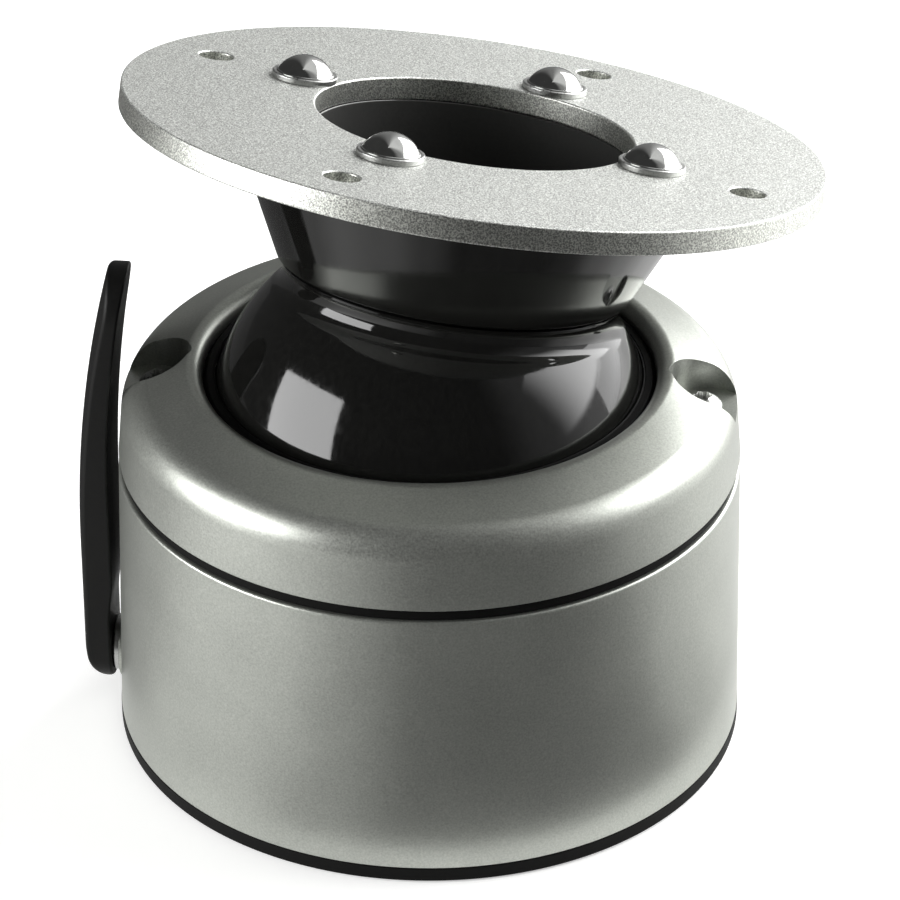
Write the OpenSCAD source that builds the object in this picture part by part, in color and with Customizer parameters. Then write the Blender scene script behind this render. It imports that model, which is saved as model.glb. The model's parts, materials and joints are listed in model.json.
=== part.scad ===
// Tilt-and-swivel mount for a marine antenna or display.
// A ball with a conical neck carries a round flange plate. A drum housing holds the ball between two
// ring seats, and a side lever turns a spiral cam that lifts a friction shoe against the ball.
// Origin: centre of the drum's underside. +Z is up, +X runs through the cap screws, the lever is at -X.

/* [Drum] */
// Outside diameter at the underside
drum_d = 165; // [164:0.5:168]
// Radius lost for each millimetre of height
drum_draft = 0.025; // [0.015:0.005:0.03]
// Wall thickness at the top of the drum
drum_wall = 4; // [3.5:0.5:4.5]
// Height of the black ring that the drum stands on
base_ring_h = 4; // [3:0.5:4]
// Height of the drum's upper edge
drum_top = 77; // [77:0.5:78]
// Height of the cap ring's lower edge
cap_bottom = 80.2; // [80:0.1:80.4]

/* [Cap ring] */
// Radius of the upright wall where the shoulder starts
cap_wall_r = 79.5; // [79:0.1:79.8]
// Height where the shoulder starts
shoulder_z = 91.7; // [91.2:0.1:92]
// Radius of the rounded shoulder
shoulder_r = 10; // [9:0.5:11]
// Slope of the top face, degrees
cap_slope = 20; // [18:1:22]
// Radius of the opening round the ball
lip_bore_r = 58.3; // [58.3:0.1:58.6]
// Radius of the rolled lip
lip_r = 3.5; // [3:0.25:4]
// Distance of the two cap screws from the axis
cap_screw_r = 70.3; // [70.3:0.1:70.6]
// Height of the floor of the screw recesses
recess_floor = 94; // [93.8:0.1:94.4]

/* [Ball and neck] */
// Radius of the ball
ball_r = 58; // [57.9:0.05:58]
// Height of the ball's centre
ball_z = 82.3; // [82:0.1:82.6]
// Tilt of the neck as it stands, degrees
tilt = 14.5; // [0:0.5:20]
// Compass direction of that tilt, degrees from +X
tilt_dir = 61.5; // [0:0.5:360]
// Radius of the throat of the waist
throat_r = 43.5; // [43:0.1:44]
// Radius of the cone's lower edge
neck_low_r = 46; // [45.5:0.1:46.4]
// Radius of the rim under the plate
neck_rim_r = 61.6; // [61:0.1:62]
// Radius of the cable way through the neck's floor
cable_bore_r = 30; // [29.5:0.1:30.2]

/* [Flange plate] */
// Diameter of the plate
plate_d = 180; // [178:1:182]
// Thickness of the plate
plate_t = 6; // [5.5:0.25:6.5]
// Height of the plate's top face above the ball's centre
plate_top = 84.2; // [84:0.1:84.6]
// Diameter of the central hole
plate_hole_d = 81.6; // [81:0.1:82]
// Pitch circle of the four outer fixing holes
fixing_pcd = 150; // [140:1:156]
// Diameter of those holes
fixing_hole_d = 9; // [6:0.5:10]
// Pitch circle of the dome-head bolts
dome_pcd = 98; // [98:0.5:100]
// Turn of the holes from the direction of tilt, degrees
plate_turn = 6.5; // [0:0.5:90]

/* [Lever and clamp] */
// Height of the lever's shaft
shaft_z = 13.4; // [13.4:0.1:13.8]
// Diameter of the shaft
shaft_d = 10; // [9.5:0.5:10]
// Height of the lever's tip
lever_top = 128.5; // [124:0.5:130]
// Width of the lever near its tip
lever_w = 23; // [20:0.5:23]
// Lift of the cam over a quarter turn
cam_lift = 1.5; // [1:0.1:1.5]

/* [Hidden] */
$fn = 96;
eps = 0.01;
// How far a cut reaches past the face that it opens
past = 1;
// Gaps: between pieces that move past each other, of a sliding fit, and of a turning fit
gap = 0.3;
slide = 0.2;
run = 0.05;

// M5 screws with countersunk heads; those of the floor sit a little below its face
screw_d = 5;
screw_head_d = 10;
floor_sink = 0.5;
floor_screw_l = 18;

drum_r = drum_d / 2;
drum_in_r = drum_r - drum_draft * drum_top - drum_wall;
drum_edge = 0.8;
function drum_r_at(z) = drum_r - drum_draft * z;

floor_r = 69.5;
floor_t = 6;
floor_hole_r = 30;
deck_pcd = 115;
deck_core_d = 6.8;
deck_turn = 67.5;
base_screw_r = 64;
base_screw_turn = 22.5;
base_post_r = 6;
base_post_h = 20;
grommet_r = 26.5;
grommet_flange_r = 34;

support_screw_r = 48;
support_screw_turn = 45;
support_in_r = 43.5;
support_foot_r = 52.5;
support_wall_r = 50.5;
support_rim_r = 53.5;
support_rim_top = 46;
seat_z = 39;
seat_r = 51.5;
lower_bearing_z = 40.9;
lower_bearing_top = 51;

cap_wall_in_r = 75.2;
cap_roof_z = 91;
cap_post_r = 5.7;
cap_post_low = 52;
cap_screw_l = 38;
lip_z = 101.4;
hub_r = 68.5;
hub_z = 84.5;
upper_bearing_r = 64.5;
upper_bearing_top = 92.5;
seal_r = 60;
seal_z = 96.3;
seal_top = 100.2;

ball_in_r = 52;

// Heights in the ball's frame, from its centre along the neck
collar_low = 30;
collar_top = 43.5;
waist_z = 40;
neck_low = 44.3;
neck_floor = 53;
plate_low = plate_top - plate_t;
neck_rim_low = plate_low - 2.2;
neck_screw_r = 35;
neck_screw_turn = 30;
neck_screw_head_d = 9;
neck_screw_l = 19.5;
neck_bore_r = plate_hole_d / 2 - 0.6;
dome_bolt_d = 8;
dome_bolt_l = 12;
dome_r = 7;
dome_h = 5.2;
washer_r = 8.5;
washer_t = 1.6;

// Places along the shaft, as x from the drum's axis
lever_x = -84.5;
lever_out_x = -91;
lever_screw_x = -90;
boss_x = -82.6;
boss_in_x = -70;
boss_r = 9;
bush_r = shaft_d / 2 + 2;
seal_groove_x = -78.2;
seal_groove_w = 2.4;
clip_x = boss_in_x + 0.4;
clip_t = 1;
clip_groove_d = shaft_d - 1.6;
cam_x = [-63, -55];

shaft_r = shaft_d / 2;
shaft_square = 8;
lever_screw_d = 4.2;
lever_screw_head_r = 4.6;
cam_r = 8.5;
shoe_x = [-63.5, -54];
shoe_half_y = 9.5;
shoe_top = 66.5;
pad_t = 3;
guide_x = [-67.5, -54.5];
guide_half_y = 16.5;
guide_top = 45;

// Places children in the ball's frame: origin at the ball's centre, +Z along the neck
module in_ball() {
    translate([0, 0, ball_z]) rotate([0, 0, tilt_dir]) rotate([0, tilt, 0]) children();
}

// Copies children to count places on a circle
module around(r, count, start = 0) {
    for (i = [0:count - 1]) rotate([0, 0, start + i * 360 / count]) translate([r, 0, 0]) children();
}

// Turns children drawn along +Z to run along +X from the place x on the shaft's axis
module on_shaft(x) {
    translate([x, 0, shaft_z]) rotate([0, 90, 0]) children();
}

// Space that the ball turns in, at the height of its centre, grown by extra
module ball_space(extra = 0) {
    translate([0, 0, ball_z]) sphere(r = ball_r + gap + extra);
}

// Ring with a square section, from z0 to z1
module tube(r_in, r_out, z0, z1) {
    difference() {
        translate([0, 0, z0]) cylinder(r = r_out, h = z1 - z0);
        translate([0, 0, z0 - past]) cylinder(r = r_in, h = z1 - z0 + 2 * past);
    }
}

// Radius of the sphere whose cap is r wide from its middle and h high
function cap_sphere_r(r, h) = (r * r + h * h) / (2 * h);

// Outline round two circles on the Y axis and between their common tangents
module taper_outline(y0, r0, y1, r1) {
    side = asin((r0 - r1) / (y1 - y0));
    translate([0, y0]) circle(r = r0);
    translate([0, y1]) circle(r = r1);
    polygon([for (s = [[1, y0, r0], [1, y1, r1], [-1, y1, r1], [-1, y0, r0]])
        [s[0] * s[2] * cos(side), s[1] + s[2] * sin(side)]]);
}

// Countersunk screw, head up at z = 0, pointing down
module countersunk(d, head_d, length) {
    sink = (head_d - d) / 2;
    translate([0, 0, -length]) cylinder(d = d, h = length);
    translate([0, 0, -sink]) cylinder(d1 = d, d2 = head_d, h = sink);
}

// Screw entered through the floor from below
module floor_screw() {
    translate([0, 0, floor_sink]) mirror([0, 0, 1]) countersunk(screw_d, screw_head_d, floor_screw_l);
}

// Blind hole above the floor for a floor screw
module floor_screw_hole() {
    cylinder(d = screw_d, h = floor_sink + floor_screw_l);
}

// Countersunk hole through the floor
module floor_screw_sink() {
    translate([0, 0, -past]) cylinder(d = screw_d, h = floor_t + 2 * past);
    translate([0, 0, -past]) cylinder(d = screw_head_d, h = floor_sink + past + eps);
    translate([0, 0, floor_sink]) cylinder(d1 = screw_head_d, d2 = screw_d, h = (screw_head_d - screw_d) / 2);
}

module at_base_screws() {
    around(base_screw_r, 4, base_screw_turn) children();
}

module at_support_screws() {
    around(support_screw_r, 4, support_screw_turn) children();
}

module at_guide_screws() {
    y = (guide_half_y + shoe_half_y + slide) / 2;
    for (side = [-1, 1]) translate([(shoe_x[0] + shoe_x[1]) / 2, side * y, 0]) children();
}

// Drum: drafted shell with posts for the screws and a boss for the shaft
module housing() {
    wall = [[drum_in_r, base_ring_h], [drum_r_at(base_ring_h), base_ring_h],
        [drum_r_at(drum_top - drum_edge), drum_top - drum_edge],
        [drum_r_at(drum_top) - drum_edge, drum_top], [drum_in_r, drum_top]];
    color("silver") difference() {
        union() {
            rotate_extrude() polygon(wall);
            intersection() {
                cylinder(r = drum_in_r + past, h = drum_top);
                union() {
                    around(cap_screw_r, 2) cap_post();
                    at_base_screws() base_post();
                }
            }
            on_shaft(boss_x) cylinder(r = boss_r, h = boss_in_x - boss_x);
        }
        around(cap_screw_r, 2) translate([0, 0, recess_floor - cap_screw_l])
            cylinder(d = screw_d, h = cap_screw_l);
        at_base_screws() floor_screw_hole();
        on_shaft(boss_x - past) cylinder(r = bush_r, h = boss_in_x - boss_x + 2 * past);
    }
}

// Post on the floor plate with a web to the drum's wall
module base_post() {
    web = 4;
    translate([0, 0, floor_t]) {
        cylinder(r = base_post_r, h = base_post_h);
        translate([0, -web / 2, 0]) cube([drum_in_r - base_screw_r + past / 2, web, base_post_h - 2]);
    }
}

// Post under a cap screw, joined to the drum's wall
module cap_post() {
    web = 8;
    height = drum_top - cap_post_low;
    translate([0, 0, cap_post_low]) {
        cylinder(r = cap_post_r, h = height);
        translate([0, -web / 2, 0]) cube([drum_in_r - cap_screw_r + past / 2, web, height]);
    }
}

// Rubber ring under the drum's wall, round the floor plate
module base_ring() {
    low_edge = 0.6;
    top_edge = 0.4;
    section = [[floor_r + gap, 0], [drum_r - low_edge, 0], [drum_r, low_edge],
        [drum_r, base_ring_h - top_edge], [drum_r - top_edge, base_ring_h], [floor_r + gap, base_ring_h]];
    color("#1b1b1b") rotate_extrude() polygon(section);
}

// Floor of the drum with tapped holes for the deck's bolts and a cable hole
module base_plate() {
    color("gray") difference() {
        cylinder(r = floor_r, h = floor_t);
        translate([0, 0, -past]) cylinder(r = floor_hole_r, h = floor_t + 2 * past);
        around(deck_pcd / 2, 4, deck_turn) translate([0, 0, -past])
            cylinder(d = deck_core_d, h = floor_t + 2 * past);
        at_base_screws() floor_screw_sink();
        at_support_screws() floor_screw_sink();
        at_guide_screws() floor_screw_sink();
    }
}

module base_screws() {
    color("lightgray") at_base_screws() floor_screw();
}

module support_screws() {
    color("lightgray") at_support_screws() floor_screw();
}

module guide_screws() {
    color("lightgray") at_guide_screws() floor_screw();
}

// Rubber edging of the cable hole, with a flange above the floor
module base_grommet() {
    flange_t = 2;
    section = [[grommet_r, floor_sink], [floor_hole_r, floor_sink], [floor_hole_r, floor_t],
        [grommet_flange_r, floor_t], [grommet_flange_r, floor_t + flange_t / 2],
        [grommet_flange_r - 1, floor_t + flange_t], [grommet_r + 1.5, floor_t + flange_t],
        [grommet_r, floor_t]];
    color("#202020") rotate_extrude() polygon(section);
}

// Pedestal: foot, thinner wall and a rimmed seat for the spring and the lower bearing
module support_ring() {
    foot_top = 20;
    wall_in_r = 46;
    section = [[support_in_r, floor_t], [support_foot_r, floor_t], [support_foot_r, foot_top],
        [support_wall_r, foot_top + 2], [support_wall_r, seat_z - 5], [support_rim_r, seat_z - 2],
        [support_rim_r, support_rim_top], [seat_r, support_rim_top], [seat_r, seat_z],
        [support_in_r, seat_z], [support_in_r, seat_z - 4], [wall_in_r, seat_z - 7],
        [wall_in_r, foot_top + 2], [support_in_r, foot_top]];
    color("darkgray") difference() {
        rotate_extrude() polygon(section);
        at_support_screws() floor_screw_hole();
    }
}

// Wave spring: a flat ring that rises and falls round its circumference
module preload_spring() {
    steps = 96;
    waves = 6;
    r_in = support_in_r + 0.5;
    r_out = seat_r - 1;
    half_rise = 0.55;
    thick = 0.5;
    function mid_z(i) = seat_z + half_rise + half_rise * sin(i * waves * 360 / steps);
    function rim(r, i, up) = [r * cos(i * 360 / steps), r * sin(i * 360 / steps), mid_z(i) + up];
    points = [for (i = [0:steps - 1]) each
        [rim(r_in, i, 0), rim(r_out, i, 0), rim(r_out, i, thick), rim(r_in, i, thick)]];
    faces = [for (i = [0:steps - 1]) let (a = i * 4, b = ((i + 1) % steps) * 4) for (k = [0:3])
        let (m = (k + 1) % 4) each [[a + k, b + k, b + m], [a + k, b + m, a + m]]];
    color("lightsteelblue") polyhedron(points, faces);
}

// Seat ring under the ball
module lower_bearing() {
    color("ivory") difference() {
        tube(support_in_r + 0.1, seat_r - gap, lower_bearing_z, lower_bearing_top);
        ball_space();
    }
}

// Seat ring above the ball's equator
module upper_bearing() {
    color("ivory") difference() {
        translate([0, 0, hub_z]) cylinder(r = upper_bearing_r, h = upper_bearing_top - hub_z);
        ball_space();
    }
}

// Rubber ring between drum and cap ring, set back to leave a shadow line
module seam_gasket() {
    set_back = 1;
    color("#1b1b1b") tube(drum_in_r, drum_r_at(drum_top) - set_back, drum_top, cap_bottom);
}

// Outline of the recess round a cap screw: wide at the screw, with a nose towards the lip
module recess_outline() {
    wide_r = 10;
    wide_out = 1.7;
    nose_r = 4.5;
    nose_in = 4.3;
    translate([cap_screw_r + wide_out, 0]) circle(r = wide_r);
    translate([cap_screw_r - nose_in, 0]) circle(r = nose_r);
}

// Half section of the cap ring: drafted wall, rounded shoulder, sloping top and rolled lip,
// less the room under the roof, the seat for the upper bearing and the groove for the seal
module cap_section() {
    shoulder_mid = [cap_wall_r - shoulder_r, shoulder_z];
    lip_mid = [lip_bore_r + lip_r, lip_z];
    slope_normal = [sin(cap_slope), cos(cap_slope)];
    // The wall and the sloping top run a little inside the round edges, so that they cross them
    inside = 0.1;
    wall_lean = (drum_r_at(cap_bottom) - cap_wall_r) / (shoulder_z - cap_bottom);
    wall_top = [cap_wall_r - wall_lean * wall_lean * shoulder_r, shoulder_z + wall_lean * shoulder_r];
    difference() {
        union() {
            translate(shoulder_mid) circle(r = shoulder_r);
            translate(lip_mid) circle(r = lip_r);
            polygon([[drum_r_at(cap_bottom), cap_bottom], wall_top,
                shoulder_mid + (shoulder_r - inside) * slope_normal,
                lip_mid + (lip_r - inside) * slope_normal, lip_mid,
                [lip_bore_r - past, seal_z], [lip_bore_r - past, cap_bottom]]);
        }
        square([hub_r, hub_z]);
        translate([hub_r, 0]) square([cap_wall_in_r - hub_r, cap_roof_z]);
        square([upper_bearing_r, upper_bearing_top]);
        square([lip_bore_r + gap, seal_z]);
        translate([0, seal_z]) square([seal_r, seal_top - seal_z]);
    }
}

// Cap ring with a post and a recess for each screw
module cap_ring() {
    recess_h = lip_z + 2 * lip_r - recess_floor;
    color("silver") difference() {
        union() {
            rotate_extrude() cap_section();
            around(cap_screw_r, 2) translate([0, 0, cap_bottom])
                cylinder(r = cap_post_r, h = cap_roof_z - cap_bottom + past);
        }
        for (side = [0, 180]) rotate([0, 0, side]) translate([0, 0, recess_floor])
            linear_extrude(recess_h) recess_outline();
        around(cap_screw_r, 2) translate([0, 0, cap_bottom - past])
            cylinder(d = screw_d + 0.5, h = recess_floor - cap_bottom + 2 * past);
    }
}

// Pan-head screws with a six-lobe recess
module cap_screws() {
    pan_d = 10;
    pan_h = 3.7;
    pan_sphere_r = cap_sphere_r(pan_d / 2, pan_h) + 0.8;
    lobe_d = 3.6;
    lobe_deep = 2;
    color("lightgray") around(cap_screw_r, 2) translate([0, 0, recess_floor]) difference() {
        union() {
            translate([0, 0, -cap_screw_l]) cylinder(d = screw_d, h = cap_screw_l + eps);
            intersection() {
                cylinder(d = pan_d, h = pan_h);
                translate([0, 0, pan_h - pan_sphere_r]) sphere(r = pan_sphere_r);
            }
        }
        translate([0, 0, pan_h - lobe_deep]) {
            cylinder(d = lobe_d, h = lobe_deep + past);
            around(lobe_d / 2, 6) cylinder(d = 1.3, h = lobe_deep + past);
        }
    }
}

// Rubber ring whose lip wipes the ball
module wiper_seal() {
    lip_top = seal_top + 1.4;
    section = [[seal_r - 4, seal_z], [seal_r, seal_z], [seal_r, seal_top], [lip_bore_r - slide, seal_top],
        [seal_r - 3.8, lip_top], [seal_r - 6, lip_top], [seal_r - 6, seal_z + 2.2]];
    color("#161616") difference() {
        rotate_extrude() polygon(section);
        ball_space();
    }
}

// Upper half of the hollow ball, with a collar for the neck and a concave waist
module ball() {
    waist_tube_r = 5.5;
    collar_r = throat_r + 1.7;
    color("#101010") in_ball() difference() {
        union() {
            sphere(r = ball_r);
            cylinder(r = collar_r, h = collar_top);
        }
        rotate_extrude() translate([throat_r + waist_tube_r, waist_z]) circle(r = waist_tube_r);
        translate([0, 0, collar_top]) cylinder(r = ball_r, h = ball_r);
        intersection() {
            sphere(r = ball_in_r);
            translate([0, 0, collar_low - 2 * ball_r]) cylinder(r = ball_r, h = 2 * ball_r);
        }
        cylinder(r = cable_bore_r, h = ball_r);
        translate([0, 0, -2 * ball_r]) cylinder(r = ball_r + past, h = 2 * ball_r);
        around(neck_screw_r, 6, neck_screw_turn) translate([0, 0, neck_floor - neck_screw_l - past / 2])
            cylinder(d = screw_d, h = neck_screw_l);
    }
}

// Lower half, bonded to the upper one at the equator, with a mouth for the cables
module ball_bowl() {
    mouth_r = 26;
    color("#101010") in_ball() difference() {
        sphere(r = ball_r);
        sphere(r = ball_in_r);
        cylinder(r = ball_r + past, h = 2 * ball_r);
        translate([0, 0, -ball_r - past]) cylinder(r = mouth_r, h = ball_r);
    }
}

module neck_gasket() {
    color("#161616") in_ball() difference() {
        tube(cable_bore_r + 0.5, throat_r - slide, collar_top, neck_low);
        around(neck_screw_r, 6, neck_screw_turn) cylinder(d = screw_d, h = ball_r);
    }
}

// Cone with a floor that is screwed to the ball and a thick top that takes the plate's bolts
module neck() {
    low_edge = 0.7;
    floor_edge = 0.5;
    section = [[cable_bore_r, neck_low], [neck_low_r - low_edge, neck_low], [neck_low_r, neck_low + low_edge],
        [neck_rim_r - 1, neck_rim_low], [neck_rim_r, neck_rim_low + 0.4], [neck_rim_r, plate_low],
        [neck_bore_r, plate_low], [neck_bore_r, neck_floor + floor_edge],
        [neck_bore_r - floor_edge, neck_floor], [cable_bore_r, neck_floor]];
    sink = (neck_screw_head_d - screw_d) / 2;
    color("#101010") in_ball() difference() {
        rotate_extrude() polygon(section);
        around(neck_screw_r, 6, neck_screw_turn) {
            translate([0, 0, neck_low - past]) cylinder(d = screw_d, h = neck_floor - neck_low + 2 * past);
            translate([0, 0, neck_floor - sink])
                cylinder(d1 = screw_d, d2 = neck_screw_head_d + 2 * eps, h = sink + eps);
        }
        around(dome_pcd / 2, 4, plate_turn) translate([0, 0, plate_low - dome_bolt_l - past])
            cylinder(d = dome_bolt_d, h = dome_bolt_l + 2 * past);
    }
}

module neck_screws() {
    color("lightgray") in_ball() around(neck_screw_r, 6, neck_screw_turn) translate([0, 0, neck_floor])
        countersunk(screw_d, neck_screw_head_d, neck_screw_l);
}

// Flat plate with softened edges
module flange_plate() {
    soft = 0.5;
    r_in = plate_hole_d / 2;
    r_out = plate_d / 2;
    section = [[r_in, plate_low], [r_out - soft, plate_low], [r_out, plate_low + soft],
        [r_out, plate_top - soft], [r_out - soft, plate_top], [r_in + soft, plate_top],
        [r_in, plate_top - soft]];
    color("gainsboro") in_ball() difference() {
        rotate_extrude() polygon(section);
        translate([0, 0, plate_low - past]) {
            around(dome_pcd / 2, 4, plate_turn) cylinder(d = dome_bolt_d, h = plate_t + 2 * past);
            around(fixing_pcd / 2, 4, plate_turn) cylinder(d = fixing_hole_d, h = plate_t + 2 * past);
        }
    }
}

// Dome-head bolts through the plate into the neck
module flange_bolts() {
    seat = plate_top + washer_t;
    dome_sphere_r = cap_sphere_r(dome_r, dome_h);
    color("white") in_ball() around(dome_pcd / 2, 4, plate_turn) {
        translate([0, 0, plate_low - dome_bolt_l])
            cylinder(d = dome_bolt_d, h = seat - plate_low + dome_bolt_l + eps);
        intersection() {
            translate([0, 0, seat]) cylinder(r = dome_r, h = 2 * dome_h);
            translate([0, 0, seat + dome_h - dome_sphere_r]) sphere(r = dome_sphere_r);
        }
    }
}

module flange_washers() {
    color("silver") in_ball() around(dome_pcd / 2, 4, plate_turn)
        tube(dome_bolt_d / 2, washer_r, plate_top, plate_top + washer_t);
}

// Sleeve that floats in the waist and neck: a flange above the floor and a snap bead below the collar
module cable_sleeve() {
    r_in = cable_bore_r - 3.5;
    r_out = cable_bore_r - 2 * run;
    foot = 20;
    flange_r = r_out + 3.6;
    flange_low = neck_floor + gap;
    section = [[r_in, foot + 2], [r_in + 1.5, foot], [r_out, foot], [r_out, foot + 5],
        [r_out + 0.8, foot + 7], [r_out, collar_low - 2 * gap], [r_out, flange_low],
        [flange_r, flange_low], [flange_r, flange_low + 1], [flange_r - 1, flange_low + 2],
        [r_in + 2, flange_low + 2], [r_in, neck_floor]];
    color("#202020") in_ball() rotate_extrude() polygon(section);
}

// Bush with a flange between the drum and the lever, and a groove for the seal
module shaft_bush() {
    flange_t = boss_x - lever_x - gap;
    color("lightgray") difference() {
        union() {
            on_shaft(boss_x) cylinder(r = bush_r, h = boss_in_x - boss_x);
            on_shaft(boss_x - flange_t) cylinder(r = bush_r + 0.5, h = flange_t);
        }
        on_shaft(lever_x) cylinder(r = shaft_r + run, h = boss_in_x - lever_x + past);
        on_shaft(seal_groove_x) cylinder(r = shaft_r + 1.2, h = seal_groove_w);
    }
}

module shaft_seal() {
    cord_r = 0.55;
    color("#161616") on_shaft(seal_groove_x + seal_groove_w / 2) rotate_extrude()
        translate([shaft_r + run + cord_r, 0]) circle(r = cord_r);
}

// Bowed blade: outer face crowned across its width and curved along its height
module lever() {
    crown_r = 30;
    bow_r = 320;
    bow_z = 49;
    inner_bow_r = 340;
    inner_bow_z = 62;
    foot_r = 9.5;
    tip_r = lever_w / 2;
    reach = 60;
    color("#151515") difference() {
        intersection() {
            union() {
                intersection() {
                    translate([lever_out_x + bow_r, 0, bow_z]) rotate([90, 0, 0])
                        rotate_extrude($fn = 360) translate([bow_r - crown_r, 0]) circle(r = crown_r);
                    translate([lever_out_x - crown_r, -crown_r, bow_z]) cube([reach, 2 * crown_r, 100]);
                }
                translate([lever_out_x + crown_r, 0, shaft_z]) cylinder(r = crown_r, h = bow_z - shaft_z);
                translate([lever_out_x + foot_r, 0, shaft_z]) rotate([90, 0, 0]) rotate_extrude()
                    intersection() {
                        translate([foot_r - crown_r, 0]) circle(r = crown_r);
                        translate([0, -crown_r]) square(2 * crown_r);
                    }
            }
            translate([lever_out_x - crown_r, 0, 0]) rotate([90, 0, 90]) linear_extrude(reach)
                taper_outline(shaft_z, foot_r, lever_top - tip_r, tip_r);
        }
        translate([lever_x, -crown_r, 0]) cube([reach, 2 * crown_r, inner_bow_z]);
        translate([lever_x + inner_bow_r, crown_r, inner_bow_z]) rotate([90, 0, 0])
            cylinder(r = inner_bow_r, h = 2 * crown_r, $fn = 360);
        on_shaft(lever_x) cube(shaft_square, center = true);
        on_shaft(lever_x - reach) cylinder(d = lever_screw_d, h = reach);
        on_shaft(lever_screw_x - reach) cylinder(r = lever_screw_head_r + gap, h = reach);
    }
}

// Shaft with a square end for the lever, a groove for the clip and a tapped end
module cam_shaft() {
    square_l = shaft_square / 2;
    tap_deep = 12;
    color("lightgray") difference() {
        union() {
            on_shaft(lever_x) cylinder(r = shaft_r, h = cam_x[1] - lever_x);
            on_shaft(lever_x - square_l / 2) cube([shaft_square, shaft_square, square_l], center = true);
        }
        on_shaft(clip_x - 0.1) tube(clip_groove_d / 2, bush_r, 0, clip_t + 0.2);
        on_shaft(lever_x - square_l - past) cylinder(d = lever_screw_d, h = square_l + tap_deep + past);
    }
}

// Radius of the cam at an angle from its highest point: a steady fall past the quarter turn,
// then low round the back, and up again to the highest point
function cam_r_at(a) =
    let (fall_end = 120, rise_start = 300, rise_end = 345, low_r = cam_r - cam_lift * fall_end / 90)
    a <= fall_end ? cam_r - cam_lift * a / 90 :
    a <= rise_start ? low_r :
    a <= rise_end ? low_r + (cam_r - low_r) * (a - rise_start) / (rise_end - rise_start) : cam_r;

// Spiral cam, fixed on the shaft
module clamp_cam() {
    color("dimgray") translate([0, 0, shaft_z]) rotate([90, 0, 90]) translate([0, 0, cam_x[0]])
        linear_extrude(cam_x[1] - cam_x[0]) difference() {
            polygon([for (a = [0:5:355]) cam_r_at(a) * [sin(a), cos(a)]]);
            circle(r = shaft_r);
        }
}

// Low dome-head screw through the lever into the shaft
module lever_screw() {
    head_h = 2.4;
    head_sphere_r = cap_sphere_r(lever_screw_head_r, head_h);
    color("lightgray") on_shaft(lever_screw_x) {
        cylinder(d = lever_screw_d, h = 15);
        intersection() {
            translate([0, 0, -head_h]) cylinder(r = lever_screw_head_r, h = head_h);
            translate([0, 0, head_sphere_r - head_h]) sphere(r = head_sphere_r);
        }
    }
}

// Open spring clip in the shaft's groove
module shaft_clip() {
    mouth = [[0, 0], [12, -6], [12, 6]];
    color("lightgray") on_shaft(clip_x) difference() {
        tube(clip_groove_d / 2, bush_r, 0, clip_t);
        translate([0, 0, -past]) linear_extrude(clip_t + 2 * past) polygon(mouth);
    }
}

// Plunger over the cam, with a head that reaches in under the ball
module clamp_shoe() {
    foot_z = shaft_z + cam_r + gap + 0.1;
    head_z = lower_bearing_top - 2.5;
    head_in_x = shoe_x[1] + 1.4;
    color("darkgray") difference() {
        union() {
            translate([shoe_x[0], -shoe_half_y, foot_z])
                cube([shoe_x[1] - shoe_x[0], shoe_half_y * 2, shoe_top - foot_z]);
            translate([shoe_x[0], -shoe_half_y, head_z])
                cube([head_in_x - shoe_x[0], shoe_half_y * 2, shoe_top - head_z]);
        }
        ball_space(pad_t);
    }
}

// Lining between the plunger's head and the ball
module shoe_pad() {
    edge = 0.5;
    low = lower_bearing_top - 1;
    half_y = shoe_half_y - 1;
    color("#3a2c22") intersection() {
        translate([shoe_x[0] + edge, -half_y, low])
            cube([shoe_x[1] + 1.4 - shoe_x[0] - edge, 2 * half_y, shoe_top - edge - low]);
        difference() {
            ball_space(pad_t);
            ball_space();
        }
    }
}

// Channel block: two cheeks beside the plunger and a back with a hole for the shaft
module clamp_guide() {
    back_x = shoe_x[0] - slide - past;
    color("darkgray") difference() {
        translate([guide_x[0], -guide_half_y, floor_t])
            cube([guide_x[1] - guide_x[0], 2 * guide_half_y, guide_top - floor_t]);
        translate([back_x, -shoe_half_y - slide, 0])
            cube([guide_x[1] - back_x + past, (shoe_half_y + slide) * 2, guide_top + past]);
        on_shaft(guide_x[0] - past) cylinder(r = shaft_r + past, h = back_x - guide_x[0] + 2 * past);
        at_guide_screws() floor_screw_hole();
    }
}

housing();
base_ring();
base_plate();
base_screws();
base_grommet();
support_ring();
support_screws();
preload_spring();
seam_gasket();
cap_ring();
cap_screws();
wiper_seal();
upper_bearing();
clamp_guide();
guide_screws();
shaft_bush();
shaft_seal();
lower_bearing();
cable_sleeve();
ball();
ball_bowl();
neck_gasket();
neck();
neck_screws();
flange_plate();
flange_bolts();
flange_washers();
lever();
cam_shaft();
clamp_cam();
lever_screw();
shaft_clip();
clamp_shoe();
shoe_pad();
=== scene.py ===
"""Looks of a tilt-and-swivel antenna mount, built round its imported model.

Turned pieces are lathed from outlines with rounded corners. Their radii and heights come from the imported
model's own nodes. The add-on's properties hold other sizes, the finishes and the studio settings.
"""
import json
import math
from collections import namedtuple

import bmesh
import bpy
from bpy.props import FloatProperty, FloatVectorProperty, PointerProperty
from mathutils import Matrix, Vector


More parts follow.
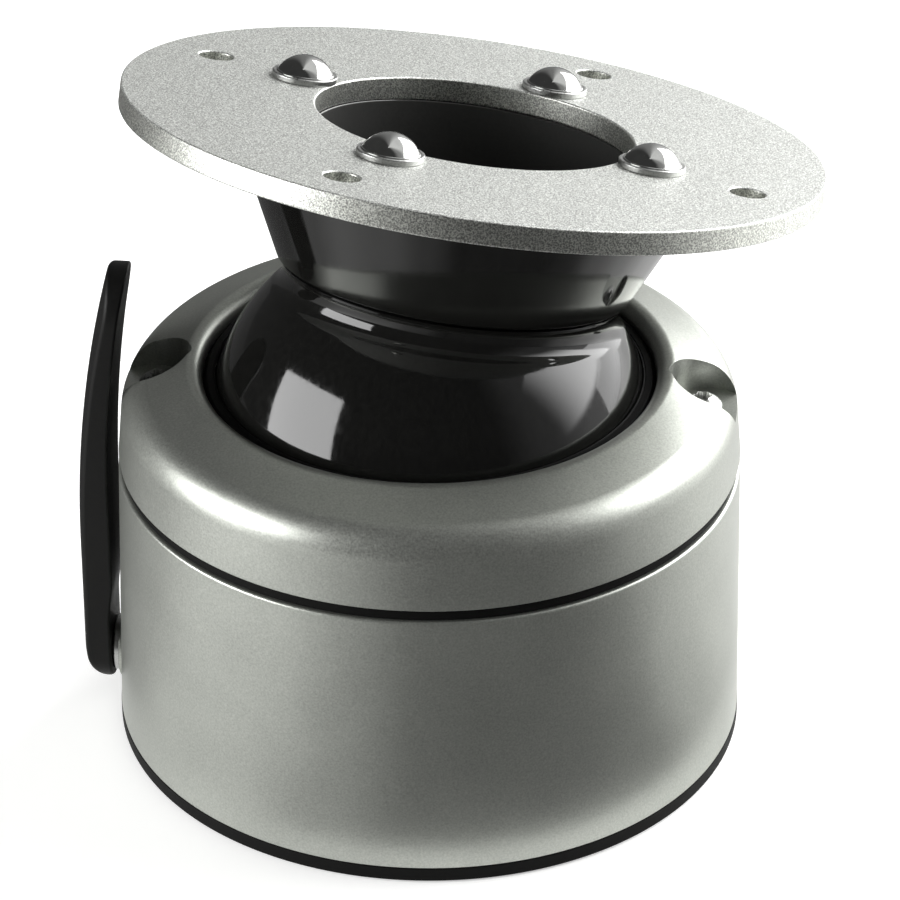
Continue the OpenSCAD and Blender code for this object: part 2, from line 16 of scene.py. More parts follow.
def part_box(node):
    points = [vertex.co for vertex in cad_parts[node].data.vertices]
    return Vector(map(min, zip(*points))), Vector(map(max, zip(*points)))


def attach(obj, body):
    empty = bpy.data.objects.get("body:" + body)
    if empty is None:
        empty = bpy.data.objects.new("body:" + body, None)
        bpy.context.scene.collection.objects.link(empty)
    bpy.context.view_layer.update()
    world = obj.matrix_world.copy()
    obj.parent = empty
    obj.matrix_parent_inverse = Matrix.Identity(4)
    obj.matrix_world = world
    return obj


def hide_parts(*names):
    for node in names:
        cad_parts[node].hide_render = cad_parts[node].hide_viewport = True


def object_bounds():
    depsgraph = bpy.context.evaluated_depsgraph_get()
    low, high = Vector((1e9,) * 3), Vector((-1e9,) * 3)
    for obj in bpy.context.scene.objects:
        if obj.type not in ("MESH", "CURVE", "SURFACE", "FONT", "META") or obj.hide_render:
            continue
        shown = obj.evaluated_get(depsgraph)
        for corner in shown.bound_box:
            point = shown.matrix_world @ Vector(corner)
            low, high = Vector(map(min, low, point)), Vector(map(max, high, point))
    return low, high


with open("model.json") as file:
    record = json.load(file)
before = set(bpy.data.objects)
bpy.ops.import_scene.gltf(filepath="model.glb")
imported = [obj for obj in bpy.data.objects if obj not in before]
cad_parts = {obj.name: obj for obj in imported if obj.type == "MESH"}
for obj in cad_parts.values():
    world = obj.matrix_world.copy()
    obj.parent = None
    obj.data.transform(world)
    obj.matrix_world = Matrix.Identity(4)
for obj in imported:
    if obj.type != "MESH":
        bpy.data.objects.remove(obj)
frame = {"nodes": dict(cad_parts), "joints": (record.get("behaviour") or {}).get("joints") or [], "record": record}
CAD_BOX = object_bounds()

bl_info = {
    "name": "Tilt-and-Swivel Mount",
    "version": (1, 0, 0),
    "blender": (4, 5, 0),
    "location": "3D View > Sidebar > Mount",
    "description": "Builds the finished surfaces of a tilt-and-swivel antenna mount on its packed model",
    "category": "Object",
}

MM = 0.001
FULL_TURN = 2 * math.pi
ARC_STEP = math.radians(7)
FINE_ARC_STEP = math.radians(2)
SHARP_ANGLE = math.radians(38)
WELD = 0.002 * MM

# How far a cutting tool reaches past what it cuts
TOOL_PAST = 5 * MM

# Half the angle between two lines from which their corner counts as straight
STRAIGHT = math.radians(89.5)

# Small gaps, roundings of small edges, and the segments that such an edge has
HAIR_EDGE = 0.1 * MM
FINE_EDGE = 0.2 * MM
THIN_EDGE = 0.25 * MM
SMALL_EDGE = 0.3 * MM
BROKEN_EDGE = 0.35 * MM
SOFT_EDGE = 0.4 * MM
PLAIN_EDGE = 0.5 * MM
ROUND_EDGE = 0.6 * MM
EDGE_SEGMENTS = 3

# Steps in a full turn: wide rings, round pieces, cutting tools and the like, and small pieces
WIDE_STEPS = 288
ROUND_STEPS = 256
TOOL_STEPS = 96
SMALL_STEPS = 72

# Height of the groove in the cap ring that holds the wiper seal
SEAL_GROOVE = 3.9 * MM

# How far the shaft bush's flange stands out from its body
BUSH_STEP = 0.5 * MM

# Lobes of a screw's recess, and how much it narrows down to its floor
LOBES = 6
SOCKET_DRAFT = 0.94

# Most values of a noise pattern lie between these
NOISE_LOW, NOISE_HIGH = 0.3, 0.7

JOINTS = {joint["name"]: joint for joint in frame["joints"]}
MOUNTS = {mount["name"]: mount for mount in frame["record"]["mounts"]}
BALL_MID = Vector(JOINTS["spin"]["pos_m"])
NECK_AXIS = Vector(JOINTS["spin"]["axis"])
SHAFT_END = Vector(JOINTS["lever_turn"]["pos_m"])

# Places that the turned pieces are lathed in: the drum's axis, the neck's axis from the ball's middle,
# and the lever's shaft, whose axis points into the drum
UPRIGHT = Matrix.Identity(4)
IN_BALL = (
    Matrix.Translation(BALL_MID)
    @ Matrix.Rotation(math.atan2(NECK_AXIS.y, NECK_AXIS.x), 4, "Z")
    @ Matrix.Rotation(math.acos(NECK_AXIS.z), 4, "Y")
)
ON_SHAFT = Matrix.Translation(SHAFT_END) @ Matrix.Rotation(math.pi / 2, 4, "Y")

Turned = namedtuple("Turned", "inner outer low high")


def turned(node, place=UPRIGHT):
    """Least and greatest radius, and lowest and highest place along the axis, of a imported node."""
    to_axis = place.inverted()
    points = [to_axis @ vertex.co for vertex in frame["nodes"][node].data.vertices]
    radii = [math.hypot(point.x, point.y) for point in points]
    heights = [point.z for point in points]
    return Turned(min(radii), max(radii), min(heights), max(heights))


def length(name, description, millimetres):
    """Length property with its default given in millimetres."""
    return FloatProperty(
        name=name, description=description, default=millimetres * MM, min=0.0, unit="LENGTH", precision=5
    )


def share(name, description, default):
    """Property between 0 and 1."""
    return FloatProperty(
        name=name, description=description, default=default, min=0.0, max=1.0, subtype="FACTOR"
    )


def colour(name, description, default):
    """Linear colour property."""
    return FloatVectorProperty(
        name=name, description=description, default=default, size=3, min=0.0, max=1.0, subtype="COLOR"
    )


def angle(name, description, degrees):
    """Angle property with its default given in degrees."""
    return FloatProperty(name=name, description=description, default=math.radians(degrees), subtype="ANGLE")


def watts(name, description, default):
    """Power property of a lamp."""
    return FloatProperty(name=name, description=description, default=default, min=0.0, subtype="POWER")


class MountSizes(bpy.types.PropertyGroup):
    """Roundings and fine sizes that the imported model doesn't give."""

    plate_edge: length("Plate edge", "Rounding of the flange plate's rims", 0.5)
    hole_pitch: length("Dome pitch", "Radius of the circle that the dome bolts stand on", 49)
    bolt_hole: length("Bolt hole", "Radius of the holes for the dome bolts", 4)
    bolt_turn: angle("Bolt turn", "Angle of the first bolt from the plate's zero line", 6.5)
    dome_radius: length("Dome radius", "Radius of a dome bolt's head", 7.5)
    dome_height: length("Dome height", "Height of a dome bolt's head", 4.5)
    washer_radius: length("Washer radius", "Outer radius of the washers under the domes", 8.5)
    washer_height: length("Washer height", "Thickness of the washers", 1.6)
    neck_foot: length("Neck foot", "Radius of the neck cone at its foot", 46)
    neck_bore: length("Neck bore", "Radius of the wide bore in the neck", 40.2)
    neck_floor: length("Neck floor", "Height of the floor in the neck over the ball's middle", 53)
    neck_rim: length("Neck rim", "Height of the upright rim at the neck's top", 2.2)
    waist_radius: length("Waist radius", "Radius of the hollow round the ball's waist", 5.5)
    waist_out: length("Waist out", "Distance of the waist hollow's middle from the neck's axis", 49)
    waist_up: length("Waist up", "Height of the waist hollow's middle over the ball's middle", 40)
    ball_wall: length("Ball wall", "Thickness of the ball's wall", 6)
    ball_mouth: length("Ball mouth", "Radius of the opening under the ball", 26)
    ball_floor: length("Ball floor", "Height at which the ball's hollow ends", 30)
    cap_shoulder: length("Cap shoulder", "Radius of the cap ring's rounded shoulder", 10)
    cap_lip: length("Cap lip", "Radius of the cap ring's rolled lip", 3.5)
    cap_lip_up: length("Lip height", "Height of the rolled lip's middle", 101.4)
    cap_slope: angle("Cap slope", "Slope of the cap ring's top", 20)
    cap_draft: length("Cap draft", "How much the cap ring's wall leans in up to its shoulder", 1)
    recess_radius: length("Recess radius", "Radius of the screw recess in the cap ring", 10)
    recess_out: length("Recess out", "Distance of the recess's middle from the drum's axis", 72)
    recess_nose: length("Recess nose", "Radius of the recess's inner end", 4.5)
    recess_nose_out: length("Recess nose out", "Distance of the inner end's middle from the drum's axis", 66)
    recess_floor: length("Recess floor", "Height of the recess's floor", 94)
    recess_edge: length("Recess edge", "Softening of the recess's rim", 0.45)
    cap_screw_out: length("Cap screw pitch", "Distance of the cap screws from the drum's axis", 70.3)
    cap_screw_head: length("Cap screw head", "Radius of the cap screws' heads", 5)
    cap_screw_rise: length("Cap screw rise", "Height of the cap screws' heads", 3.7)
    drum_edge: length("Drum edge", "Rounding of the drum's top edge", 0.8)
    drum_wall: length("Drum wall", "Thickness of the drum's wall", 4)
    drum_draft: share("Drum draft", "How much the drum's wall leans in for each unit of height", 0.025)
    lever_foot: length("Lever foot", "Radius of the lever's foot", 9.5)
    lever_tip: length("Lever tip", "Radius of the lever's tip", 11.5)
    lever_crown: length("Lever crown", "Radius of the outer face across the lever", 30)
    lever_bow: length("Lever bow", "Radius of the outer face along the lever", 320)
    lever_bow_up: length("Lever bow start", "Height at which the outer face starts to bow", 49)
    lever_hollow: length("Lever hollow", "Radius of the inner face along the lever", 340)
    lever_hollow_up: length("Lever hollow start", "Height at which the inner face starts to bow", 62)
    lever_edge: length("Lever edge", "Rounding of the lever's edges", 0.9)
    lever_toe: length("Lever toe", "Radius of the outer face where it curves in to the foot", 12)
    lever_toe_up: length("Lever toe start", "Height under which the outer face curves in", 15.5)
    lever_swell: length("Lever swell", "How far the inner face stands towards the drum above the foot", 1.2)
    lever_swell_low: length("Swell start", "Height at which the inner face starts to swell", 25)
    lever_swell_high: length("Swell end", "Height at which the swell is full", 38)
    lever_head: length("Lever screw head", "Height of the lever screw's head", 1.3)


class MountFinishes(bpy.types.PropertyGroup):
    """Colours and roughness of the finishes."""

    silver: colour("Silver", "Satin coat of drum and cap ring", (0.43, 0.445, 0.41))
    silver_rough: share("Silver roughness", "Roughness of the satin coat", 0.37)
    plate: colour("Plate", "Blasted aluminium of the flange plate", (0.57, 0.58, 0.555))
    plate_rough: share("Plate roughness", "Roughness of the blasted plate", 0.52)
    rim: colour("Plate rim", "Turned rim of the flange plate", (0.6, 0.61, 0.57))
    rim_rough: share("Rim roughness", "Roughness of the plate's rim", 0.36)
    polished: colour("Polished steel", "Dome bolts", (0.5, 0.505, 0.49))
    plain: colour("Plain steel", "Washers and screws", (0.5, 0.505, 0.49))
    gloss: colour("Gloss black", "Coat of ball and neck", (0.005, 0.005, 0.0046))
    gloss_rough: share("Gloss roughness", "Roughness of the gloss coat", 0.07)
    undercoat: colour("Undercoat", "Dull coat inside the neck", (0.025, 0.025, 0.0235))
    satin: colour("Satin black", "Coat of the lever", (0.0045, 0.0045, 0.0042))
    rubber: colour("Rubber", "Rings, seals and gaskets", (0.0035, 0.0035, 0.0033))
    cast: colour("Cast aluminium", "Floor and inner works", (0.46, 0.465, 0.45))
    acetal: colour("Acetal", "Bearing rings", (0.72, 0.71, 0.66))
    nylon: colour("Nylon", "Cable sleeve", (0.02, 0.02, 0.02))
    lining: colour("Lining", "Friction pad", (0.075, 0.052, 0.036))


class MountStage(bpy.types.PropertyGroup):
    """Floor, camera, light and the levels of the painted reflections."""

    floor: colour("Floor", "Pale floor", (0.86, 0.86, 0.85))
    floor_fill: share("Floor fill", "White that the floor adds for the eye and for mirrors", 0.4)
    ambient: FloatProperty(name="Ambient", description="Soft light from all round", default=0.3, min=0.0)
    left_power: watts("Left power", "Power of the left softbox", 18)
    right_power: watts("Right power", "Power of the right softbox", 45)
    strip_power: watts("Strip power", "Power of the low strip light on the right", 4)
    # Levels of the mirror-only cards that paint dark reflections on the metal
    dark: share("Dark level", "Level of the dark cloth round the object, as mirrors show it", 0.06)
    table_dark: share("Table level", "Level of the dark cloth on the table, as mirrors show it", 0.1)
    camera_lens: FloatProperty(
        name="Lens", description="Focal length on the 36 mm sensor", default=173.84, min=10.0, unit="CAMERA"
    )


def rounded(corners, step=ARC_STEP):
    """Points of a closed outline through (radius, height, rounding) corners."""
    points = []
    for index, (across, up, rounding) in enumerate(corners):
        corner = Vector((across, up))
        to_last = (Vector(corners[index - 1][:2]) - corner).normalized()
        to_next = (Vector(corners[(index + 1) % len(corners)][:2]) - corner).normalized()
        half = to_last.angle(to_next) / 2
        if rounding <= 0 or half > STRAIGHT:
            points.append(tuple(corner))
            continue
        reach = rounding / math.tan(half)
        middle = corner + (to_last + to_next).normalized() * rounding / math.sin(half)
        start = corner + to_last * reach - middle
        end = corner + to_next * reach - middle
        sweep = math.atan2(start.x * end.y - start.y * end.x, start.dot(end))
        points += arc(middle, rounding, math.atan2(start.y, start.x), sweep, step)
    return points


def arc(middle, radius, start, sweep, step=ARC_STEP):
    """Points along a circle from an angle, over a sweep."""
    count = max(2, math.ceil(abs(sweep) / step))
    angles = [start + sweep * index / count for index in range(count + 1)]
    return [(middle[0] + radius * math.cos(turn), middle[1] + radius * math.sin(turn)) for turn in angles]


def crossing(first, first_way, second, second_way):
    """Where two lines meet, each given by a point and a direction in the plane."""
    gap = Vector(second) - Vector(first)
    run = first_way[0] * second_way[1] - first_way[1] * second_way[0]
    along = (gap.x * second_way[1] - gap.y * second_way[0]) / run
    return first[0] + along * first_way[0], first[1] + along * first_way[1]


def lathe(bm, outline, place=UPRIGHT, steps=ROUND_STEPS):
    """Turns an outline of (radius, height) points round the axis of a place.

    A point may hold a third value: how deep the lobes cut into its ring. An outline that starts on the
    axis ends on it too, and any other is closed.
    """
    rings = []
    for index in range(steps):
        turn = FULL_TURN * index / steps
        ring = []
        for point in outline:
            lobe = point[2] if len(point) > 2 else 0.0
            radius = point[0] + lobe * math.cos(LOBES * turn)
            ring.append(bm.verts.new(place @ polar(radius, turn, point[1])))
        rings.append(ring)
    spans = len(outline) if outline[0][0] > 0 else len(outline) - 1
    for index in range(steps):
        ring, after = rings[index], rings[(index + 1) % steps]
        for low in range(spans):
            high = (low + 1) % len(outline)
            bm.faces.new((ring[low], after[low], after[high], ring[high]))


def bridge(bm, rings):
    """Joins each ring of points to the next one with faces."""
    for ring, after in zip(rings, rings[1:]):
        for index in range(len(ring)):
            follow = (index + 1) % len(ring)
            bm.faces.new((ring[index], ring[follow], after[follow], after[index]))


def clean(bm):
    """Welds doubled points, drops faces without area and turns all faces outwards."""
    bmesh.ops.remove_doubles(bm, verts=bm.verts, dist=WELD)
    bmesh.ops.dissolve_degenerate(bm, edges=bm.edges, dist=WELD)
    bmesh.ops.recalc_face_normals(bm, faces=bm.faces)


def add_object(name, data):
    """Puts an object of this data in the scene."""
    added = bpy.data.objects.new(name, data)
    bpy.context.scene.collection.objects.link(added)
    return added


def mesh_object(name, bm):
    """Puts an object of a finished mesh in the scene."""
    mesh = bpy.data.meshes.new(name)
    bm.to_mesh(mesh)
    bm.free()
    return add_object(name, mesh)


def finish_piece(name, body, slot, nodes, bm, *more_finishes):
    """Makes a shaded piece of a mesh, which rides on a body, has a slot's finish and stands for nodes."""
    clean(bm)
    if not bm.faces:
        raise RuntimeError(f"{name} has no faces")
    piece = mesh_object(name, bm)
    piece.data.shade_smooth()
    piece.data.set_sharp_from_angle(angle=SHARP_ANGLE)
    for material in (finish_for(slot), *more_finishes):
        piece.data.materials.append(material)
    normals = piece.modifiers.new("even_flats", "WEIGHTED_NORMAL")
    normals.keep_sharp = True
    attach(piece, body)
    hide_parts(*nodes)


def turn_piece(name, body, slot, nodes, outline, place=UPRIGHT, steps=ROUND_STEPS):
    """Lathes one piece from its outline and finishes it."""
    bm = bmesh.new()
    lathe(bm, outline, place, steps)
    finish_piece(name, body, slot, nodes, bm)


def ring_outline(ring, edge_in, edge_low, edge_high):
    """Outline of a plain ring, with the roundings of its inner edges and of its outer low and high edge."""
    return rounded([
        (ring.inner, ring.low, edge_in), (ring.outer, ring.low, edge_low),
        (ring.outer, ring.high, edge_high), (ring.inner, ring.high, edge_in),
    ])


def solid_tool(radius, low, high, place, edge=0.0, steps=TOOL_STEPS):
    """Mesh of a solid disc on a place's axis, to cut with or to join."""
    bm = bmesh.new()
    lathe(bm, rounded([(0, low, 0), (radius, low, edge), (radius, high, edge), (0, high, 0)]), place, steps)
    return bm


def cut(bm, tool, operation="DIFFERENCE"):
    """Cuts one mesh with another, or joins them, and returns the result as a new mesh."""
    clean(bm)
    clean(tool)
    blank, cutter = mesh_object("cut_blank", bm), mesh_object("cut_tool", tool)
    boolean = blank.modifiers.new("cut", "BOOLEAN")
    boolean.operation = operation
    boolean.solver = "EXACT"
    boolean.object = cutter
    result = bmesh.new()
    result.from_object(blank, bpy.context.evaluated_depsgraph_get())
    if len(result.faces) < len(blank.data.polygons) / 2:
        raise RuntimeError("a cut left too little of its blank")
    for holder in (blank, cutter):
        mesh = holder.data
        bpy.data.objects.remove(holder)
        bpy.data.meshes.remove(mesh)
    return result


def polar(radius, turn, up=0.0):
    """Point at a radius and an angle round the axis."""
    return Vector((radius * math.cos(turn), radius * math.sin(turn), up))


def dome_radius_of(base, height):
    """Radius of the sphere whose cap has this base radius and height."""
    return (base * base + height * height) / (2 * height)


def fill(tree, node, inputs):
    """Gives each input of a node its value, or links another node's output to it."""
    for key, value in inputs.items():
        if isinstance(value, bpy.types.NodeSocket):
            tree.links.new(value, node.inputs[key])
        else:
            node.inputs[key].default_value = value


def wire(tree, kind, output, inputs, **settings):
    """Adds a shader node with its settings and inputs, and gives one of its outputs."""
    node = tree.nodes.new("ShaderNode" + kind)
    for setting, value in settings.items():
        setattr(node, setting, value)
    fill(tree, node, inputs)
    return node.outputs[output]


class Surface:
    """Node tree of one finish: its shader, and the patterns that vary it from place to place."""

    def __init__(self, name, roughness, metallic=0.0, **more):
        self.material = bpy.data.materials.new(name)
        self.material.use_nodes = True
        self.tree = self.material.node_tree
        self.shader = self.tree.nodes["Principled BSDF"]
        inputs = {socket.replace("_", " "): value for socket, value in more.items()}
        fill(self.tree, self.shader, {"Roughness": roughness, "Metallic": metallic, **inputs})
        self.place = wire(self.tree, "TexCoord", "Object", {})

    def noise(self, size, detail=2.0, stretch=(1, 1, 1)):
        """Cloudy pattern whose patches are about `size` wide, longer along small `stretch` axes."""
        spot = wire(self.tree, "Mapping", "Vector", {"Vector": self.place, "Scale": stretch})
        return wire(self.tree, "TexNoise", "Fac", {"Vector": spot, "Scale": 1 / size, "Detail": detail})

    def pits(self, size):
        """Pattern of small cells, about `size` apart."""
        return wire(self.tree, "TexVoronoi", "Distance", {"Vector": self.place, "Scale": 1 / size})

    def blend(self, first, second, amount):
        """Two patterns mixed, with `amount` of the second."""
        return wire(self.tree, "Mix", "Result", {"Factor": amount, "A": first, "B": second})

    def tint(self, pattern, base, tints, reach):
        """Base colour between two shares of the finish's own, within `reach` of the pattern's middle."""
        ramp = self.tree.nodes.new("ShaderNodeValToRGB")
        middle = (NOISE_LOW + NOISE_HIGH) / 2
        for stop, position, level in zip(ramp.color_ramp.elements, around(middle, reach), tints):
            stop.position = position
            stop.color = [min(1.0, channel * level) for channel in base] + [1.0]
        fill(self.tree, ramp, {"Fac": pattern})
        fill(self.tree, self.shader, {"Base Color": ramp.outputs["Color"]})

    def roughen(self, pattern, roughs):
        """Roughness between two values."""
        rough = wire(self.tree, "MapRange", "Result", {
            "Value": pattern, "From Min": NOISE_LOW, "From Max": NOISE_HIGH,
            "To Min": roughs[0], "To Max": roughs[1],
        })
        fill(self.tree, self.shader, {"Roughness": rough})

    def emboss(self, pattern, depth):
        """Fine relief of a given depth."""
        relief = wire(self.tree, "Bump", "Normal", {"Distance": depth, "Height": pattern})
        fill(self.tree, self.shader, {"Normal": relief})

    def vary(self, pattern, base, tints, roughs, depth, relief=None, reach=0.2):
        """Varies colour, roughness and relief by a pattern, or relief by its own, and gives the material."""
        self.tint(pattern, base, tints, reach)
        self.roughen(pattern, roughs)
        self.emboss(relief or pattern, depth)
        return self.material


def around(middle, spread):
    """Two values, a spread below and a spread above a middle one."""
    return middle - spread, middle + spread


def silver_coat(finishes):
    """Satin silver coat with a fine metallic grain and a faint cloudiness."""
    dim_edge = (0.75, 0.75, 0.75, 1)
    surface = Surface("drum_silver", finishes.silver_rough, metallic=0.85, Specular_Tint=dim_edge)
    grain = surface.noise(0.5 * MM)
    cloud = surface.noise(22 * MM)
    surface.tint(surface.blend(grain, cloud, 0.25), finishes.silver, tints=(0.8, 1.16), reach=0.2)
    surface.roughen(grain, around(finishes.silver_rough, 0.05))
    surface.emboss(grain, depth=0.006 * MM)
    return surface.material


def blasted_grain(surface):
    """Fine pitted grain of blasted metal."""
    return surface.blend(surface.noise(0.36 * MM, detail=1), surface.pits(0.45 * MM), 0.3)


def blasted_metal(finishes):
    """Bead-blasted aluminium with a coarse bright grain."""
    surface = Surface("blasted_plate", finishes.plate_rough, metallic=0.85)
    grain = blasted_grain(surface)
    roughs = around(finishes.plate_rough, 0.07)
    return surface.vary(grain, finishes.plate, tints=(0.5, 1.35), roughs=roughs, depth=0.06 * MM, reach=0.1)


def turned_edge(finishes):
    """Turned rim of the plate, blasted more lightly than its faces."""
    surface = Surface("plate_rim", finishes.rim_rough, metallic=1.0)
    grain = blasted_grain(surface)
    roughs = around(finishes.rim_rough, 0.06)
    return surface.vary(grain, finishes.rim, tints=(0.55, 1.45), roughs=roughs, depth=0.03 * MM, reach=0.12)


def polished_metal(finishes):
    """Mirror-polished steel with faint polishing haze."""
    surface = Surface("polished_steel", 0.07, metallic=1.0)
    haze = surface.noise(2.5 * MM, detail=4)
    relief = surface.noise(1.6 * MM, detail=1)
    return surface.vary(
        haze, finishes.polished, tints=(0.92, 1.06), roughs=(0.05, 0.1), depth=0.004 * MM, relief=relief
    )


def plain_metal(finishes):
    """Plain stainless steel with fine drawn marks."""
    surface = Surface("plain_steel", 0.32, metallic=1.0)
    marks = surface.noise(0.5 * MM, detail=3, stretch=(1, 0.25, 1))
    return surface.vary(marks, finishes.plain, tints=(0.82, 1.12), roughs=(0.26, 0.4), depth=0.008 * MM)


def gloss_coat(finishes):
    """Gloss black coat with a faint peel and fine wipe marks."""
    surface = Surface("gloss_black", finishes.gloss_rough, Specular_IOR_Level=0.5)
    wipes = surface.noise(1.2 * MM, detail=4, stretch=(1, 1, 0.08))
    peel = surface.noise(3.5 * MM, detail=1.5)
    roughs = (finishes.gloss_rough - 0.025, finishes.gloss_rough + 0.03)
    return surface.vary(
        wipes, finishes.gloss, tints=(0.8, 1.35), roughs=roughs, depth=0.006 * MM, relief=peel
    )


def dull_coat(finishes):
    """Dull black undercoat inside the neck."""
    surface = Surface("dull_black", 0.7, Specular_IOR_Level=0.3)
    spray = surface.noise(0.9 * MM, detail=3)
    return surface.vary(spray, finishes.undercoat, tints=(0.8, 1.2), roughs=(0.62, 0.8), depth=0.02 * MM)


def satin_black(finishes):
    """Satin black coat with a fine powder texture."""
    surface = Surface("lever_black", 0.48, Specular_IOR_Level=0.2)
    powder = surface.blend(surface.noise(0.6 * MM), surface.noise(9 * MM), 0.3)
    return surface.vary(powder, finishes.satin, tints=(0.75, 1.3), roughs=(0.42, 0.55), depth=0.03 * MM)


def moulded_rubber(finishes):
    """Matt black rubber with a moulded skin."""
    surface = Surface("black_rubber", 0.66, Specular_IOR_Level=0.12)
    skin = surface.blend(surface.noise(0.4 * MM), surface.noise(6 * MM, detail=3), 0.4)
    return surface.vary(skin, finishes.rubber, tints=(0.75, 1.35), roughs=(0.58, 0.76), depth=0.03 * MM)


def cast_metal(finishes):
    """Cast and turned aluminium."""
    surface = Surface("cast_aluminium", 0.45, metallic=0.9)
    skin = surface.blend(surface.noise(0.9 * MM, detail=3), surface.noise(14 * MM), 0.4)
    return surface.vary(skin, finishes.cast, tints=(0.78, 1.15), roughs=(0.38, 0.56), depth=0.05 * MM)


def turned_acetal(finishes):
    """Off-white plastic with fine turning marks."""
    surface = Surface("white_acetal", 0.4)
    marks = surface.noise(0.5 * MM, stretch=(0.2, 0.2, 1))
    return surface.vary(marks, finishes.acetal, tints=(0.93, 1.04), roughs=(0.34, 0.48), depth=0.012 * MM)


def moulded_nylon(finishes):
    """Black nylon with a fine spark-eroded skin."""
    surface = Surface("black_nylon", 0.5)
    skin = surface.noise(0.5 * MM)
    return surface.vary(skin, finishes.nylon, tints=(0.75, 1.3), roughs=(0.44, 0.58), depth=0.02 * MM)


def bonded_lining(finishes):
    """Brown friction lining with fibres and brass flecks."""
    surface = Surface("friction_lining", 0.8)
    fibres = surface.noise(0.5 * MM, detail=4, stretch=(1, 0.2, 1))
    return surface.vary(fibres, finishes.lining, tints=(0.6, 1.8), roughs=(0.7, 0.92), depth=0.06 * MM)


MAKERS = {
    "drum_silver": silver_coat,
    "blasted_plate": blasted_metal,
    "polished_steel": polished_metal,
    "plain_steel": plain_metal,
    "gloss_black": gloss_coat,
    "lever_black": satin_black,
    "black_rubber": moulded_rubber,
    "cast_aluminium": cast_metal,
    "white_acetal": turned_acetal,
    "black_nylon": moulded_nylon,
    "friction_lining": bonded_lining,
}
MADE = {}


def finish_for(slot):
    """The finish of a material slot, made once."""
    if slot not in MADE:
        MADE[slot] = MAKERS[slot](bpy.context.scene.mount_finishes)
    return MADE[slot]


class MOUNT_OT_flange_plate(bpy.types.Operator):
    """Build the blasted flange plate with its holes"""

    bl_idname = "mount.flange_plate"
    bl_label = "Flange Plate"

    def execute(self, context):
        sizes = context.scene.mount_sizes
        plate = turned("flange_plate", IN_BALL)
        pattern = MOUNTS["flange_bolts"]["dims"]
        bore_steps, bolt_steps, fixing_steps = 192, 48, 64
        circles = [(Vector(), plate.outer, WIDE_STEPS), (Vector(), plate.inner, bore_steps)]
        for turn in quarter_turns(sizes.bolt_turn):
            circles.append((polar(sizes.hole_pitch, turn), sizes.bolt_hole, bolt_steps))
            fixing = polar(pattern["pcd_mm"] * MM / 2, turn)
            circles.append((fixing, pattern["hole_r_mm"] * MM, fixing_steps))
        bm = pierced_plate(circles, plate.high - plate.low, sizes.plate_edge)
        middle = Matrix.Translation((0, 0, (plate.low + plate.high) / 2))
        bmesh.ops.transform(bm, matrix=IN_BALL @ middle, verts=bm.verts)
        bm.normal_update()
        for face in bm.faces:
            steep = abs(face.normal.dot(NECK_AXIS)) < math.cos(math.pi / 3)
            face.material_index = 1 if steep else 0
        rim = turned_edge(context.scene.mount_finishes)
        finish_piece("mount_flange_plate", "head", "blasted_plate", ["flange_plate"], bm, rim)
        return {"FINISHED"}


def quarter_turns(first):
    """Four angles, a quarter turn apart."""
    return [first + index * math.pi / 2 for index in range(4)]


def pierced_plate(circles, thickness, edge):
    """Flat plate from an outer circle and holes, with all rims rounded, as a mesh round the origin."""
    curve = bpy.data.curves.new("plate_outline", "CURVE")
    curve.dimensions = "2D"
    curve.fill_mode = "BOTH"
    curve.extrude = thickness / 2 - edge
    curve.bevel_depth = edge
    curve.bevel_resolution = EDGE_SEGMENTS
    curve.offset = -edge
    for middle, radius, steps in circles:
        spline = curve.splines.new("POLY")
        spline.points.add(steps - 1)
        spline.use_cyclic_u = True
        for index, point in enumerate(spline.points):
            point.co = (*(middle + polar(radius, FULL_TURN * index / steps)), 1.0)
    holder = add_object("plate_outline", curve)
    mesh = bpy.data.meshes.new_from_object(holder.evaluated_get(bpy.context.evaluated_depsgraph_get()))
    bm = bmesh.new()
    bm.from_mesh(mesh)
    bpy.data.objects.remove(holder)
    bpy.data.curves.remove(curve)
    bpy.data.meshes.remove(mesh)
    return bm


class MOUNT_OT_dome_bolts(bpy.types.Operator):
    """Build the four dome bolts and their washers"""

    bl_idname = "mount.dome_bolts"
    bl_label = "Dome Bolts and Washers"

    def execute(self, context):
        sizes = context.scene.mount_sizes
        plate = turned("flange_plate", IN_BALL)
        bolts = turned("flange_bolts", IN_BALL)
        shank_fit, under_edge, edge = 0.96, 0.12 * MM, BROKEN_EDGE
        shank = sizes.bolt_hole * shank_fit
        bore = shank + FINE_EDGE
        seat = plate.high + sizes.washer_height
        ball = dome_radius_of(sizes.dome_radius - edge, sizes.dome_height - edge)
        half = math.asin((sizes.dome_radius - edge) / ball)
        head = [(0, bolts.low), (shank, bolts.low), (shank, seat)]
        skirt = [(sizes.dome_radius, seat, under_edge), (sizes.dome_radius, seat + edge, edge), (0, seat, 0)]
        head += rounded(skirt)[:-1]
        head += arc((0, seat + sizes.dome_height - ball), ball, math.pi / 2 - half, half)
        ring = rounded([
            (bore, plate.high, HAIR_EDGE), (sizes.washer_radius, plate.high, THIN_EDGE),
            (sizes.washer_radius, seat, SOFT_EDGE), (bore, seat, HAIR_EDGE),
        ])
        bolt_mesh, washer_mesh = bmesh.new(), bmesh.new()
        for turn in quarter_turns(sizes.bolt_turn):
            place = IN_BALL @ Matrix.Translation(polar(sizes.hole_pitch, turn))
            lathe(bolt_mesh, head, place, SMALL_STEPS)
            lathe(washer_mesh, ring, place, SMALL_STEPS)
        finish_piece("mount_dome_bolts", "head", "polished_steel", ["flange_bolts"], bolt_mesh)
        finish_piece("mount_washers", "head", "plain_steel", ["flange_washers"], washer_mesh)
        return {"FINISHED"}


